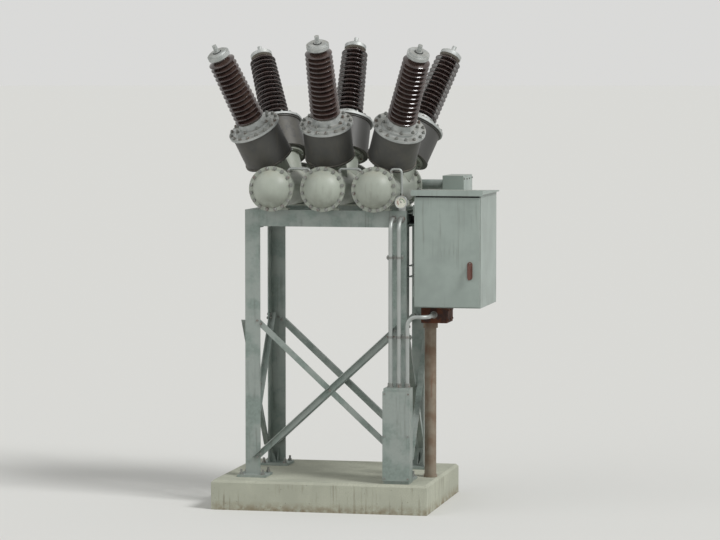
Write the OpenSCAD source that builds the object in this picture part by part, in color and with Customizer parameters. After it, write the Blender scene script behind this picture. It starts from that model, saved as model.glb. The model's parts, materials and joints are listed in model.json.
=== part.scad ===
// A three-pole dead-tank gas circuit breaker on a braced steel frame and a concrete plinth.
// The front faces -Y, the control cabinet hangs on the +X end, and +Z is up.
// The origin is the centre of the plinth's underside.

/* [Plinth] */
// Distance from the legs to the plinth's left and right sides
plinth_margin_w = 230; // [225:5:400]
// Distance from the legs to the plinth's front and rear sides
plinth_margin_d = 285; // [260:5:500]
// Height of the plinth above the ground
plinth_h = 250; // [150:10:500]
// Chamfer along the plinth's top edges
plinth_chamfer = 20; // [5:1:40]

/* [Frame] */
// Distance from an outer tank's side to the frame's end
frame_margin = 95; // [92:1:120]
// Length of tank that stands out beyond the frame at each end
tank_overhang = 95; // [85:1:110]
// Height of the frame's top above the plinth
frame_h = 2270; // [1900:10:2500]
// Width of each flange of a leg's angle section
leg_size = 130; // [100:5:150]
// Thickness of the leg's angle section
leg_t = 10; // [8:1:14]
// Side of the square base plate under each leg
foot_size = 250; // [200:10:300]
// Thickness of a base plate
foot_t = 20; // [12:1:30]
// Height of the channel section around the top
rail_h = 140; // [120:5:160]
// Width of the channel's flanges
rail_flange = 60; // [50:1:75]
// Thickness of the channel section
rail_t = 8; // [6:1:10]
// Flange width of the bracing angles
brace_size = 50; // [40:5:60]
// Thickness of the bracing angles
brace_t = 6; // [4:1:8]
// Height of the lower end of the crossed bracing above the plinth
brace_low = 170; // [120:10:300]
// Distance from the frame's top down to the upper end of the crossed bracing
brace_drop = 940; // [800:10:1100]

/* [Poles] */
// Distance between the centre lines of neighbouring tanks
pole_pitch = 440; // [420:5:480]
// Outer diameter of a tank
tank_od = 320; // [300:5:330]
// Distance from the lowest edge of a current transformer to the end of its tank
tank_margin = 95; // [80:1:130]
// Diameter of the end flanges
flange_od = 380; // [350:5:400]
// Thickness of one end flange
flange_t = 25; // [18:1:30]
// Height of the tanks' centre line above the frame's top
tank_axis_h = 180; // [172:1:200]
// Sideways lean of the two outer poles
splay = 20; // [16:1:24]
// Lean of each bushing to the front or the rear
tilt = 27; // [22:1:30]
// Distance of a bushing's foot from the middle of its tank
neck_y = 140; // [120:5:170]

/* [Bushings] */
// Outer diameter of the neck on the tank
neck_od = 260; // [230:5:270]
// Distance from the tank's centre line to the top of the neck
neck_top = 300; // [298:1:320]
// Diameter of the current transformer's housing
transformer_od = 408; // [380:2:412]
// Width of the rolled rims around the current transformer's housing
transformer_rim = 8; // [5:1:10]
// Height of the current transformer's housing
transformer_h = 302; // [270:1:320]
// Diameter of the plate between the current transformer and the bushing
bushing_plate_od = 450; // [430:2:452]
// Height of the plate and the metal base under a porcelain
base_h = 90; // [80:1:110]
// Length of the ribbed porcelain
porcelain_h = 630; // [560:10:700]
// Number of sheds on a porcelain
shed_count = 14; // [10:1:18]
// Diameter of the porcelain's core at its foot
core_od = 160; // [140:2:170]
// Diameter over the sheds at the foot
shed_od = 256; // [230:2:270]
// Amount by which both diameters shrink towards the top
porcelain_taper = 30; // [0:2:40]
// Height of the metal cap on a porcelain
cap_h = 45; // [35:1:60]
// Diameter of the terminal stud
stud_od = 38; // [30:1:45]
// Length of the terminal stud
stud_h = 65; // [50:1:90]

/* [Cabinet] */
// Width of the control cabinet
cabinet_w = 560; // [500:5:640]
// Depth of the cabinet, front to rear
cabinet_d = 800; // [700:5:830]
// Height of the cabinet without its roof
cabinet_h = 950; // [850:5:1000]
// Height of the cabinet's top above the frame's top
cabinet_above_h = 140; // [110:5:160]
// Thickness of the cabinet's sheet
sheet_t = 3; // [2:0.5:4]
// Width of the turned-in edge around the door opening
rim_w = 35; // [25:1:50]
// Depth of the door's turned edges
door_depth = 25; // [20:1:30]
// Depth of the channels that carry the cabinet on the frame
bracket_depth = 65; // [60:1:80]

/* [Cables and gas] */
// Outer diameter of the rigid conduits
conduit_od = 34; // [27:1:42]
// Height of the conduit box at the foot of the front leg
conduit_box_h = 800; // [700:10:900]
// Outer diameter of the gas pipe
gas_pipe_od = 20; // [12:1:25]
// Outer diameter of the thick pipe that carries the cables down from the gland box
riser_od = 100; // [75:5:100]

/* [Hidden] */
$fn = 96;

LEFT = -1;
MIDDLE = 0;
RIGHT = 1;
FRONT = -1;
REAR = 1;

concrete = "#b3ae9f";
galvanized = "#8e9893";
tank_paint = "#b4b8a8";
cabinet_paint = "#aab2ab";
dark_paint = "#4a4442";
porcelain_brown = "#4b2a22";
aluminium = "#b9bdbb";
rusty_brown = "#5a3a33";

// Levels and places that several pieces share, from the plinth up
frame_w = 2 * (pole_pitch + frame_margin) + tank_od;
transformer_low_y = neck_y + neck_top * sin(tilt) + (transformer_od / 2 + transformer_rim) * cos(tilt);
tank_half = transformer_low_y + tank_margin;
frame_d = 2 * (tank_half - tank_overhang);
plinth_w = frame_w + 2 * plinth_margin_w;
plinth_d = frame_d + 2 * plinth_margin_d;
foot_overhang = (foot_size - leg_size) / 2;
frame_top_z = plinth_h + frame_h;
rail_low_z = frame_top_z - rail_h;
brace_low_z = plinth_h + brace_low;
brace_high_z = frame_top_z - brace_drop;
axis_z = frame_top_z + tank_axis_h;
transformer_top = neck_top + transformer_h;
porcelain_low = transformer_top + base_h;
porcelain_high = porcelain_low + porcelain_h;
stud_hub_h = 8;

// The linkage along the rear ends of the tanks
crank_reach = 130;
crank_od = 180;
crank_half_w = 100;
crank_y = tank_half + flange_t + crank_reach;
linkage_od = 90;

// The gas ports on the tanks and the gauge beside the right-hand one
port_od = 44;
port_x = 0.39 * tank_od;
port_top = 0.42 * tank_od;
port_y = -transformer_low_y - 25;
gauge_x = frame_w / 2 - 35;
gauge_z = frame_top_z + 75;
gauge_od = 100;

// The control cabinet, and the channels between it and the frame
cabinet_x = frame_w / 2 + bracket_depth;
cabinet_y = -frame_d / 2 + 25;
cabinet_top_z = frame_top_z + cabinet_above_h;
cabinet_z = cabinet_top_z - cabinet_h;
bracket_h = 100;
bracket_inset = 70;
bracket_heights = [cabinet_z + 250, rail_low_z + 20];
roof_overhang = 25;
drive_x = cabinet_x + 90;
drive_w = 180;

// The gland box under the cabinet, and the pipes and the box in front of the right-hand leg
gland_x = cabinet_x + 30;
gland_y = cabinet_y + 140;
gland_w = 220;
gland_d = 280;
gland_h = 140;
riser_x = gland_x + 5 + riser_od / 2;
conduit_box_w = 220;
conduit_box_d = 160;
conduit_box_back_y = -frame_d / 2 - foot_overhang - 15;
conduit_y = conduit_box_back_y - 40;
conduit_pitch = 72;
conduit_mid_x = frame_w / 2 - 40;
conduit_top_z = plinth_h + conduit_box_h;
clip_heights = [for (share = [0.3, 0.8]) conduit_top_z + share * (rail_low_z - conduit_top_z)];
clip_t = 6;

// The hinge line stands just outside the cabinet's front left corner
door_gap = 7;
hinge_x = cabinet_x - 4;
hinge_y = cabinet_y - 20;
knuckle_r = 7;
knuckle_h = 30;
hinge_pin_r = 3.5;
hinge_heights = [cabinet_z + 90, cabinet_top_z - 180];
door_x = cabinet_x + 4;
door_w = cabinet_w - 8;
door_z = cabinet_z + 10;
door_h = cabinet_h - 35;
door_face_y = cabinet_y - door_gap - door_depth;

function axis_of(pole) = pole * pole_pitch;

// A bar along +Z with an L section, its outer corner on the Z axis
module angle_bar(size, t, length) {
    linear_extrude(length)
        polygon([[0, 0], [size, 0], [size, t], [t, t], [t, size], [0, size]]);
}

// A bar along +X with a C section, its web on the -Y side
module channel_bar(h, flange, t, length) {
    difference() {
        cube([length, flange, h]);
        translate([-1, t, t])
            cube([length + 2, flange, h - 2 * t]);
    }
}

module tube(from, to, od) {
    span = to - from;
    length = norm(span);
    translate(from)
        rotate([0, acos(span[2] / length), atan2(span[1], span[0])])
            cylinder(h = length, d = od);
}

function unit(v) = v / norm(v);

// A pipe along right-angled runs, with a quarter bend of the given radius at each corner
module pipe_run(points, bend_r, od) {
    last = len(points) - 1;
    for (i = [0 : last - 1]) {
        along = unit(points[i + 1] - points[i]);
        from = points[i] + (i > 0 ? bend_r : 0) * along;
        to = points[i + 1] - (i + 1 < last ? bend_r : 0) * along;
        if (norm(to - from) > 0.1)
            tube(from, to, od);
    }
    for (i = [1 : 1 : last - 1]) {
        inward = unit(points[i] - points[i - 1]);
        outward = unit(points[i + 1] - points[i]);
        side = cross(-outward, inward);
        centre = points[i] + bend_r * (outward - inward);
        multmatrix([
            [-outward[0], inward[0], side[0], centre[0]],
            [-outward[1], inward[1], side[1], centre[1]],
            [-outward[2], inward[2], side[2], centre[2]],
            [0, 0, 0, 1]
        ])
            rotate_extrude(angle = 90)
                translate([bend_r, 0])
                    circle(d = od);
    }
}

// Puts its children on a bushing's own axis, whose foot is on the tank's centre line
module on_bushing_axis(pole, end) {
    translate([axis_of(pole), 0, axis_z])
        rotate([0, pole * splay, 0])
            translate([0, end * neck_y, 0])
                rotate([-end * tilt, 0, 0])
                    children();
}

// Mirrors its children from the right-hand rear corner to another corner of the frame
module in_corner(side, end) {
    mirror([side < 0 ? 1 : 0, 0, 0])
        mirror([0, end < 0 ? 1 : 0, 0])
            children();
}

module plinth() {
    edge = plinth_chamfer * sqrt(2);
    color(concrete)
        difference() {
            translate([-plinth_w / 2, -plinth_d / 2, 0])
                cube([plinth_w, plinth_d, plinth_h]);
            for (side = [-1, 1]) {
                translate([side * plinth_w / 2, 0, plinth_h])
                    rotate([0, 45, 0])
                        cube([edge, plinth_d + 2, edge], center = true);
                translate([0, side * plinth_d / 2, plinth_h])
                    rotate([45, 0, 0])
                        cube([plinth_w + 2, edge, edge], center = true);
            }
        }
}

// An angle on a gusseted base plate, with a cap plate under the top frame
module leg(side, end, earth_pad = false) {
    cap_t = 12;
    bar_h = rail_low_z - plinth_h - foot_t - cap_t;
    color(galvanized)
        in_corner(side, end)
            translate([frame_w / 2, frame_d / 2, plinth_h]) {
                translate([-leg_size - foot_overhang, -leg_size - foot_overhang, 0])
                    cube([foot_size, foot_size, foot_t]);
                translate([0, 0, foot_t])
                    rotate([0, 0, 180])
                        angle_bar(leg_size, leg_t, bar_h);
                translate([-leg_size, -leg_size, foot_t + bar_h])
                    cube([leg_size, leg_size, cap_t]);
                foot_gusset();
                mirror([1, -1, 0])
                    foot_gusset();
                if (earth_pad)
                    earthing_pad();
            }
}

// A triangular plate from the leg's inner corner out over the base plate, parallel to one flange
module foot_gusset() {
    gusset_w = leg_size / 2 - leg_t - 5;
    gusset_h = 110;
    gusset_t = 8;
    translate([-leg_size / 2, -leg_t, foot_t])
        rotate([90, 0, -90])
            linear_extrude(gusset_t)
                polygon([[0, 0], [gusset_w, 0], [gusset_w, 12], [12, gusset_h], [0, gusset_h]]);
}

// Two holes, one above the other, through a pad on the leg's outer side face
module earthing_pad() {
    pad_w = 50;
    pad_h = 95;
    pad_t = 10;
    hole_pitch = 44.45;
    hole_d = 14.3;
    pad_z = 250;
    translate([0, -leg_size / 2, pad_z])
        difference() {
            translate([-1, -pad_w / 2, -pad_h / 2])
                cube([pad_t + 1, pad_w, pad_h]);
            for (z = [-hole_pitch / 2, hole_pitch / 2])
                translate([-5, 0, z])
                    rotate([0, 90, 0])
                        cylinder(h = pad_t + 10, d = hole_d);
        }
}

module top_frame() {
    color(galvanized)
        union() {
            for (turn = [0, 180])
                rotate([0, 0, turn]) {
                    translate([-frame_w / 2, -frame_d / 2, rail_low_z])
                        channel_bar(rail_h, rail_flange, rail_t, frame_w);
                    translate([frame_w / 2, -frame_d / 2, rail_low_z])
                        rotate([0, 0, 90])
                            channel_bar(rail_h, rail_flange, rail_t, frame_d);
                }
        }
}

// Two crossed angles on one face of the frame, drawn on the plane y = 0 with the legs' outer face
// there: one angle lies outside the legs and the other inside them
module crossed_bracing(width) {
    reach = width - leg_size;
    rise = brace_high_z - brace_low_z;
    slope = atan2(rise, reach);
    length = norm([reach, rise]);
    translate([-reach / 2, 0, brace_low_z])
        rotate([0, 90 - slope, 0])
            rotate([0, 0, -90])
                angle_bar(brace_size, brace_t, length);
    translate([reach / 2, leg_t, brace_low_z])
        rotate([0, slope - 90, 0])
            angle_bar(brace_size, brace_t, length);
}

module long_bracing() {
    color(galvanized)
        for (turn = [0, 180])
            rotate([0, 0, turn])
                translate([0, -frame_d / 2, 0])
                    crossed_bracing(frame_w);
}

module side_bracing() {
    color(galvanized)
        for (turn = [90, -90])
            rotate([0, 0, turn])
                translate([0, -frame_w / 2, 0])
                    crossed_bracing(frame_d);
}

module tank(pole) {
    collar_h = 22;
    collar_od = neck_od + 80;
    port_sides = pole == LEFT ? [RIGHT] : [LEFT, RIGHT];
    color(tank_paint)
        union() {
            translate([axis_of(pole), 0, axis_z]) {
                rotate([90, 0, 0]) {
                    cylinder(h = 2 * tank_half, d = tank_od, center = true);
                    for (end = [-1, 1])
                        translate([0, 0, end * (tank_half - flange_t / 2)])
                            cylinder(h = flange_t, d = flange_od, center = true);
                }
                for (side = port_sides)
                    translate([side * port_x, port_y, 0])
                        cylinder(h = port_top, d = port_od);
                for (end = [FRONT, REAR])
                    translate([0, end * (frame_d - rail_flange) / 2, -tank_axis_h])
                        saddle();
            }
            for (end = [FRONT, REAR])
                on_bushing_axis(pole, end) {
                    cylinder(h = neck_top, d = neck_od);
                    translate([0, 0, neck_top - collar_h])
                        cylinder(h = collar_h, d = collar_od);
                }
        }
}

// A foot plate on the frame's rail with a web up to the tank and a rib at each end of the web
module saddle() {
    plate_w = 0.75 * tank_od;
    plate_t = 15;
    web_w = 0.62 * tank_od;
    web_t = 14;
    web_h = tank_axis_h - 0.3 * tank_od;
    translate([-plate_w / 2, -rail_flange / 2, 0])
        cube([plate_w, rail_flange, plate_t]);
    translate([-web_w / 2, -web_t / 2, 0])
        cube([web_w, web_t, web_h]);
    for (side = [-1, 1])
        translate([side * (web_w - web_t) / 2 - web_t / 2, -rail_flange / 2, 0])
            cube([web_t, rail_flange, web_h]);
}

module tank_cover(pole) {
    dome_r = tank_od / 2;
    dome_h = 95;
    ball_r = (dome_r * dome_r + dome_h * dome_h) / (2 * dome_h);
    color(tank_paint)
        translate([axis_of(pole), -tank_half, axis_z])
            rotate([90, 0, 0])
                union() {
                    cylinder(h = flange_t, d = flange_od);
                    intersection() {
                        translate([0, 0, flange_t + dome_h - ball_r])
                            sphere(r = ball_r);
                        cylinder(h = flange_t + dome_h + 10, d = tank_od);
                    }
                }
}

// A neck behind the tank's rear flange with a cross barrel, closed by a lid at each end
module crank_housing(pole) {
    neck_d = 190;
    lid_od = crank_od + 24;
    lid_t = 14;
    color(tank_paint)
        translate([axis_of(pole), 0, axis_z]) {
            translate([0, tank_half, 0])
                rotate([-90, 0, 0]) {
                    cylinder(h = flange_t, d = flange_od);
                    cylinder(h = crank_y - tank_half, d = neck_d);
                }
            translate([-crank_half_w, crank_y, 0])
                rotate([0, 90, 0]) {
                    cylinder(h = 2 * crank_half_w, d = crank_od);
                    for (from = [0, 2 * crank_half_w - lid_t])
                        translate([0, 0, from])
                            cylinder(h = lid_t, d = lid_od);
                }
        }
}

// Lengths of tube between the crank housings, and one on to the drive housing
module linkage_tube() {
    color(galvanized) {
        for (pole = [LEFT, MIDDLE])
            tube([axis_of(pole) + crank_half_w, crank_y, axis_z],
                 [axis_of(pole + 1) - crank_half_w, crank_y, axis_z], linkage_od);
        tube([axis_of(RIGHT) + crank_half_w, crank_y, axis_z], [drive_x, crank_y, axis_z], linkage_od);
    }
}

// The closed box that carries the drive from the cabinet's back up to the linkage
module drive_housing() {
    drop = 280;
    base_depth = 160;
    margin = linkage_od;
    back_y = cabinet_y + cabinet_d;
    depth = crank_y + margin - back_y;
    color(cabinet_paint)
        translate([drive_x, back_y, axis_z])
            rotate([90, 0, 90])
                linear_extrude(drive_w)
                    polygon([
                        [0, -margin - drop],
                        [base_depth, -margin - drop],
                        [depth, -margin],
                        [depth, margin],
                        [0, margin]
                    ]);
}

// A drum round the neck with a rolled rim at its foot and under the bushing's plate
module current_transformer(pole, end) {
    rim_h = 14;
    rim_od = transformer_od + 2 * transformer_rim;
    color(dark_paint)
        on_bushing_axis(pole, end)
            translate([0, 0, neck_top]) {
                cylinder(h = transformer_h, d = transformer_od);
                for (from = [0, transformer_h - rim_h])
                    translate([0, 0, from])
                        cylinder(h = rim_h, d = rim_od);
            }
}

// The plate that closes each current transformer, with the bushing's flange and conical base on it
module bushing_bases() {
    plate_t = 20;
    flange_h = 22;
    flange_d = 2 * core_od;
    foot_d = core_od + 90;
    head_d = core_od + 60;
    color(aluminium)
        for (pole = [LEFT, MIDDLE, RIGHT], end = [FRONT, REAR])
            on_bushing_axis(pole, end)
                translate([0, 0, transformer_top]) {
                    cylinder(h = plate_t, d = bushing_plate_od);
                    cylinder(h = plate_t + flange_h, d = flange_d);
                    translate([0, 0, plate_t])
                        cylinder(h = base_h - plate_t, d1 = foot_d, d2 = head_d);
                }
}

function porcelain_r(d, z) = (d - porcelain_taper * z / porcelain_h) / 2;

// One drooping shed: root below, rounded tip, root above
function shed_outline(index) =
    let (
        pitch = (porcelain_h - 30) / shed_count,
        low = 15 + index * pitch,
        core = porcelain_r(core_od, low),
        tip = porcelain_r(shed_od, low)
    )
    [
        [core, low + 0.36 * pitch],
        [core + 6, low + 0.24 * pitch],
        [tip - 4, low + 0.06 * pitch],
        [tip - 1, low + 0.10 * pitch],
        [tip, low + 0.18 * pitch],
        [tip - 1.5, low + 0.27 * pitch],
        [tip - 6, low + 0.34 * pitch],
        [core + 8, low + 0.72 * pitch],
        [core, low + 0.86 * pitch]
    ];

module bushing(pole, end) {
    sheds = [for (index = [0 : shed_count - 1]) each shed_outline(index)];
    foot = porcelain_r(core_od, 0);
    head = porcelain_r(core_od, porcelain_h);
    outline = concat([[0, 0], [foot, 0]], sheds, [[head, porcelain_h], [0, porcelain_h]]);
    color(porcelain_brown)
        on_bushing_axis(pole, end)
            translate([0, 0, porcelain_low])
                rotate_extrude()
                    polygon(outline);
}

// Caps on the porcelains, each with a low hub from which its stud stands
module terminals() {
    cap_d = core_od + 30;
    hub_d = stud_od + 22;
    color(aluminium)
        for (pole = [LEFT, MIDDLE, RIGHT], end = [FRONT, REAR])
            on_bushing_axis(pole, end)
                translate([0, 0, porcelain_high]) {
                    cylinder(h = cap_h * 0.7, d = cap_d);
                    cylinder(h = cap_h, d1 = cap_d - 10, d2 = cap_d - 40);
                    cylinder(h = cap_h + stud_hub_h, d = hub_d);
                    cylinder(h = cap_h + stud_h, d = stud_od);
                }
}

// Arched pipes from tank to tank behind the front flanges, and one over and down to the gauge
module gas_pipe() {
    bend_r = 30;
    high = port_top + bend_r + 5;
    color(aluminium)
        translate([0, port_y, axis_z]) {
            for (pole = [LEFT, MIDDLE])
                pipe_run([
                    [axis_of(pole) + port_x, 0, port_top],
                    [axis_of(pole) + port_x, 0, high],
                    [axis_of(pole + 1) - port_x, 0, high],
                    [axis_of(pole + 1) - port_x, 0, port_top]
                ], bend_r, gas_pipe_od);
            pipe_run([
                [axis_of(RIGHT) + port_x, 0, port_top],
                [axis_of(RIGHT) + port_x, 0, high],
                [gauge_x, 0, high],
                [gauge_x, 0, gauge_z + gauge_od / 2 - axis_z]
            ], bend_r, gas_pipe_od);
        }
}

// A round gauge with a rim, on a plate that stands on the frame's front right corner
module density_gauge() {
    plate_w = 60;
    plate_t = 8;
    rim_d = gauge_od + 10;
    back_y = -frame_d / 2 + 2;
    color(aluminium)
        union() {
            translate([gauge_x - plate_w / 2, back_y, frame_top_z])
                cube([plate_w, plate_t, gauge_z - frame_top_z]);
            translate([gauge_x, back_y, gauge_z])
                rotate([90, 0, 0]) {
                    cylinder(h = 55, d = gauge_od);
                    translate([0, 0, 45])
                        cylinder(h = 12, d = rim_d);
                }
        }
}

module cabinet_shell() {
    color(cabinet_paint) {
        difference() {
            translate([cabinet_x, cabinet_y, cabinet_z])
                cube([cabinet_w, cabinet_d, cabinet_h]);
            translate([cabinet_x + sheet_t, cabinet_y + sheet_t, cabinet_z + sheet_t])
                cube([cabinet_w - 2 * sheet_t, cabinet_d - 2 * sheet_t, cabinet_h - 2 * sheet_t]);
            translate([cabinet_x + rim_w, cabinet_y - 1, cabinet_z + rim_w])
                cube([cabinet_w - 2 * rim_w, sheet_t + 2, cabinet_h - 2 * rim_w]);
        }
        for (z = hinge_heights)
            translate([hinge_x, hinge_y, z])
                fixed_hinge_half();
    }
}

// Two knuckles with the pin between them, each on a leaf along the cabinet's side
module fixed_hinge_half() {
    leaf_t = 4;
    leaf_l = 60;
    cylinder(h = 3 * knuckle_h, r = hinge_pin_r);
    for (z = [0, 2 * knuckle_h])
        translate([0, 0, z]) {
            cylinder(h = knuckle_h, r = knuckle_r);
            cube([leaf_t, leaf_l, knuckle_h]);
        }
}

// A roof that falls to the rear, with a drip edge over the door and its rear edge flush
module cabinet_roof() {
    lip_h = 12;
    lip_t = 6;
    front_h = 38;
    rear_h = 10;
    front_y = cabinet_y - 2 * roof_overhang;
    color(cabinet_paint)
        translate([cabinet_x - roof_overhang, 0, cabinet_top_z])
            rotate([90, 0, 90])
                linear_extrude(cabinet_w + 2 * roof_overhang)
                    polygon([
                        [front_y, -lip_h],
                        [front_y + lip_t, -lip_h],
                        [front_y + lip_t, 0],
                        [cabinet_y + cabinet_d, 0],
                        [cabinet_y + cabinet_d, rear_h],
                        [front_y, front_h]
                    ]);
}

module cabinet_door() {
    color(cabinet_paint)
        union() {
            difference() {
                translate([door_x, door_face_y, door_z])
                    cube([door_w, door_depth, door_h]);
                translate([door_x + sheet_t, door_face_y + sheet_t, door_z + sheet_t])
                    cube([door_w - 2 * sheet_t, door_depth, door_h - 2 * sheet_t]);
            }
            for (share = [0.3, 0.72])
                translate([door_x, door_face_y + sheet_t, door_z + share * door_h])
                    door_stiffener();
            for (z = hinge_heights)
                translate([hinge_x, hinge_y, z + knuckle_h])
                    moving_knuckle();
        }
}

// A folded hat section across the inside of the door's sheet
module door_stiffener() {
    half_w = 22;
    flange = 18;
    rise = 14;
    t = 2;
    end_gap = 30;
    translate([end_gap, 0, 0])
        rotate([90, 0, 90])
            linear_extrude(door_w - 2 * end_gap)
                polygon([
                    [-1, -half_w - flange],
                    [t, -half_w - flange],
                    [t, -half_w],
                    [rise, -half_w],
                    [rise, half_w],
                    [t, half_w],
                    [t, half_w + flange],
                    [-1, half_w + flange],
                    [-1, half_w - t],
                    [rise - t, half_w - t],
                    [rise - t, t - half_w],
                    [-1, t - half_w]
                ]);
}

// The knuckle between the two fixed ones, with a running fit on the pin
module moving_knuckle() {
    end_play = 0.3;
    pin_play = 0.05;
    arm_t = 6;
    difference() {
        translate([0, 0, end_play])
            union() {
                cylinder(h = knuckle_h - 2 * end_play, r = knuckle_r);
                translate([0, -arm_t / 2, 0])
                    cube([door_x - hinge_x + 1, arm_t, knuckle_h - 2 * end_play]);
            }
        translate([0, 0, -1])
            cylinder(h = knuckle_h + 2, r = hinge_pin_r + pin_play);
    }
}

// An upright bar of that width with round ends, drawn up the Y axis from the origin
module round_ended(width, length) {
    translate([-width / 2, width / 2])
        square([width, length - width]);
    for (y = [width / 2, length - width / 2])
        translate([0, y])
            circle(d = width);
}

// A hanging lever on a boss and a tall round-ended plate, near the door's free edge
module door_handle() {
    plate_w = 44;
    plate_h = 150;
    plate_t = 6;
    boss_od = 34;
    boss_h = 16;
    spindle_od = 18;
    spindle_z = 110;
    lever_w = 24;
    lever_t = 14;
    reach = 45;
    handle_x = door_x + door_w - 80;
    handle_z = cabinet_z + 240;
    color(rusty_brown)
        translate([handle_x, door_face_y, handle_z])
            rotate([90, 0, 0]) {
                linear_extrude(plate_t)
                    round_ended(plate_w, plate_h);
                translate([0, spindle_z, 0]) {
                    cylinder(h = boss_h, d = boss_od);
                    cylinder(h = reach - 1, d = spindle_od);
                }
                translate([0, 0, reach - lever_t])
                    linear_extrude(lever_t)
                        round_ended(lever_w, spindle_z + lever_w / 2);
            }
}

// Two channels bolted across the frame's right-hand side, with the cabinet against them
module cabinet_bracket() {
    color(galvanized)
        for (z = bracket_heights)
            translate([cabinet_x, -frame_d / 2 + bracket_inset, z])
                rotate([0, 0, 90])
                    channel_bar(bracket_h, bracket_depth, rail_t, frame_d - 2 * bracket_inset);
}

// A box hung from the cabinet's floor by a flange, with a cover on its outer side
module gland_box() {
    flange_over = 18;
    flange_t = 6;
    cover_inset = 15;
    cover_t = 4;
    color(rusty_brown)
        translate([gland_x, gland_y, cabinet_z - gland_h]) {
            cube([gland_w, gland_d, gland_h]);
            translate([-flange_over, -flange_over, gland_h - flange_t])
                cube([gland_w + 2 * flange_over, gland_d + 2 * flange_over, flange_t]);
            translate([gland_w - 1, cover_inset, cover_inset])
                cube([cover_t + 1, gland_d - 2 * cover_inset, gland_h - flange_t - 2 * cover_inset]);
        }
}

// A pipe with a collar on the plinth and a coupling under the gland box
module cable_riser() {
    riser_h = cabinet_z - gland_h - plinth_h;
    collar_h = 22;
    coupling_h = 50;
    color(galvanized)
        translate([riser_x, gland_y + gland_d / 2, plinth_h]) {
            cylinder(h = riser_h, d = riser_od);
            cylinder(h = collar_h, d = riser_od + 16);
            translate([0, 0, riser_h - coupling_h])
                cylinder(h = coupling_h, d = riser_od + 24);
        }
}

// A closed box on the plinth with a lid on its front that overhangs its sides a little
module conduit_box() {
    lid_t = 12;
    lid_over = 6;
    lid_inset = 25;
    color(galvanized)
        translate([conduit_mid_x - conduit_box_w / 2, conduit_box_back_y - conduit_box_d, plinth_h]) {
            translate([0, lid_t, 0])
                cube([conduit_box_w, conduit_box_d - lid_t, conduit_box_h]);
            translate([-lid_over, 0, lid_inset])
                cube([conduit_box_w + 2 * lid_over, lid_t, conduit_box_h - 2 * lid_inset]);
        }
}

// Two conduits run up to the frame's front rail, and one turns aside to the gland box
module conduits() {
    rail_bend_r = 90;
    gland_bend_r = 75;
    rail_z = (rail_low_z + frame_top_z) / 2;
    gland_z = cabinet_z - gland_h / 2;
    inlet_x = gland_x + gland_w / 2;
    right_x = conduit_mid_x + conduit_pitch;
    color(aluminium) {
        for (x = [conduit_mid_x - conduit_pitch, conduit_mid_x])
            pipe_run([
                [x, conduit_y, conduit_top_z],
                [x, conduit_y, rail_z],
                [x, -frame_d / 2, rail_z]
            ], rail_bend_r, conduit_od);
        pipe_run([
            [right_x, conduit_y, conduit_top_z],
            [right_x, conduit_y, gland_z],
            [inlet_x, conduit_y, gland_z],
            [inlet_x, gland_y, gland_z]
        ], gland_bend_r, conduit_od);
    }
}

// Bars behind the conduits, each on a stand-off from the right-hand front leg. The lower one holds
// three conduits, and the upper one two, which leaves room for the open door
module conduit_clips() {
    bar_h = 40;
    arm_w = 40;
    bar_margin = 30;
    bar_y = conduit_y + conduit_od / 2;
    left_x = conduit_mid_x - conduit_pitch - bar_margin;
    right_xs = [conduit_mid_x + conduit_pitch + bar_margin, conduit_mid_x + bar_margin];
    color(galvanized)
        for (i = [0, 1]) {
            translate([left_x, bar_y, clip_heights[i]])
                cube([right_xs[i] - left_x, clip_t, bar_h]);
            translate([conduit_mid_x - arm_w / 2, bar_y, clip_heights[i]])
                cube([arm_w, -frame_d / 2 - bar_y, bar_h]);
        }
}

plinth();
leg(LEFT, FRONT, earth_pad = true);  // leg_front_left
leg(RIGHT, FRONT);  // leg_front_right
leg(LEFT, REAR);  // leg_rear_left
leg(RIGHT, REAR, earth_pad = true);  // leg_rear_right
top_frame();
long_bracing();
side_bracing();
tank(LEFT);  // tank_left
tank(MIDDLE);  // tank_middle
tank(RIGHT);  // tank_right
tank_cover(LEFT);  // tank_cover_left
tank_cover(MIDDLE);  // tank_cover_middle
tank_cover(RIGHT);  // tank_cover_right
crank_housing(LEFT);  // crank_housing_left
crank_housing(MIDDLE);  // crank_housing_middle
crank_housing(RIGHT);  // crank_housing_right
linkage_tube();
drive_housing();
current_transformer(LEFT, FRONT);  // transformer_front_left
current_transformer(MIDDLE, FRONT);  // transformer_front_middle
current_transformer(RIGHT, FRONT);  // transformer_front_right
current_transformer(LEFT, REAR);  // transformer_rear_left
current_transformer(MIDDLE, REAR);  // transformer_rear_middle
current_transformer(RIGHT, REAR);  // transformer_rear_right
bushing_bases();
bushing(LEFT, FRONT);  // bushing_front_left
bushing(MIDDLE, FRONT);  // bushing_front_middle
bushing(RIGHT, FRONT);  // bushing_front_right
bushing(LEFT, REAR);  // bushing_rear_left
bushing(MIDDLE, REAR);  // bushing_rear_middle
bushing(RIGHT, REAR);  // bushing_rear_right
terminals();
gas_pipe();
density_gauge();
cabinet_shell();
cabinet_roof();
cabinet_door();
door_handle();
cabinet_bracket();
gland_box();
cable_riser();
conduits();
conduit_clips();
conduit_box();
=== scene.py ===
"""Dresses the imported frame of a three-pole dead-tank circuit breaker.

The frame brings every solid in metres, with +Z up, the front on -Y and the cabinet on the +X end.
This script gives each solid its finish and adds the fasteners, seals and small fittings.
"""
import json
import math
from functools import partial
from itertools import product

import bmesh
import bpy
from bpy.props import FloatProperty, FloatVectorProperty, IntProperty, PointerProperty
from mathutils import Matrix, Vector


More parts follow.
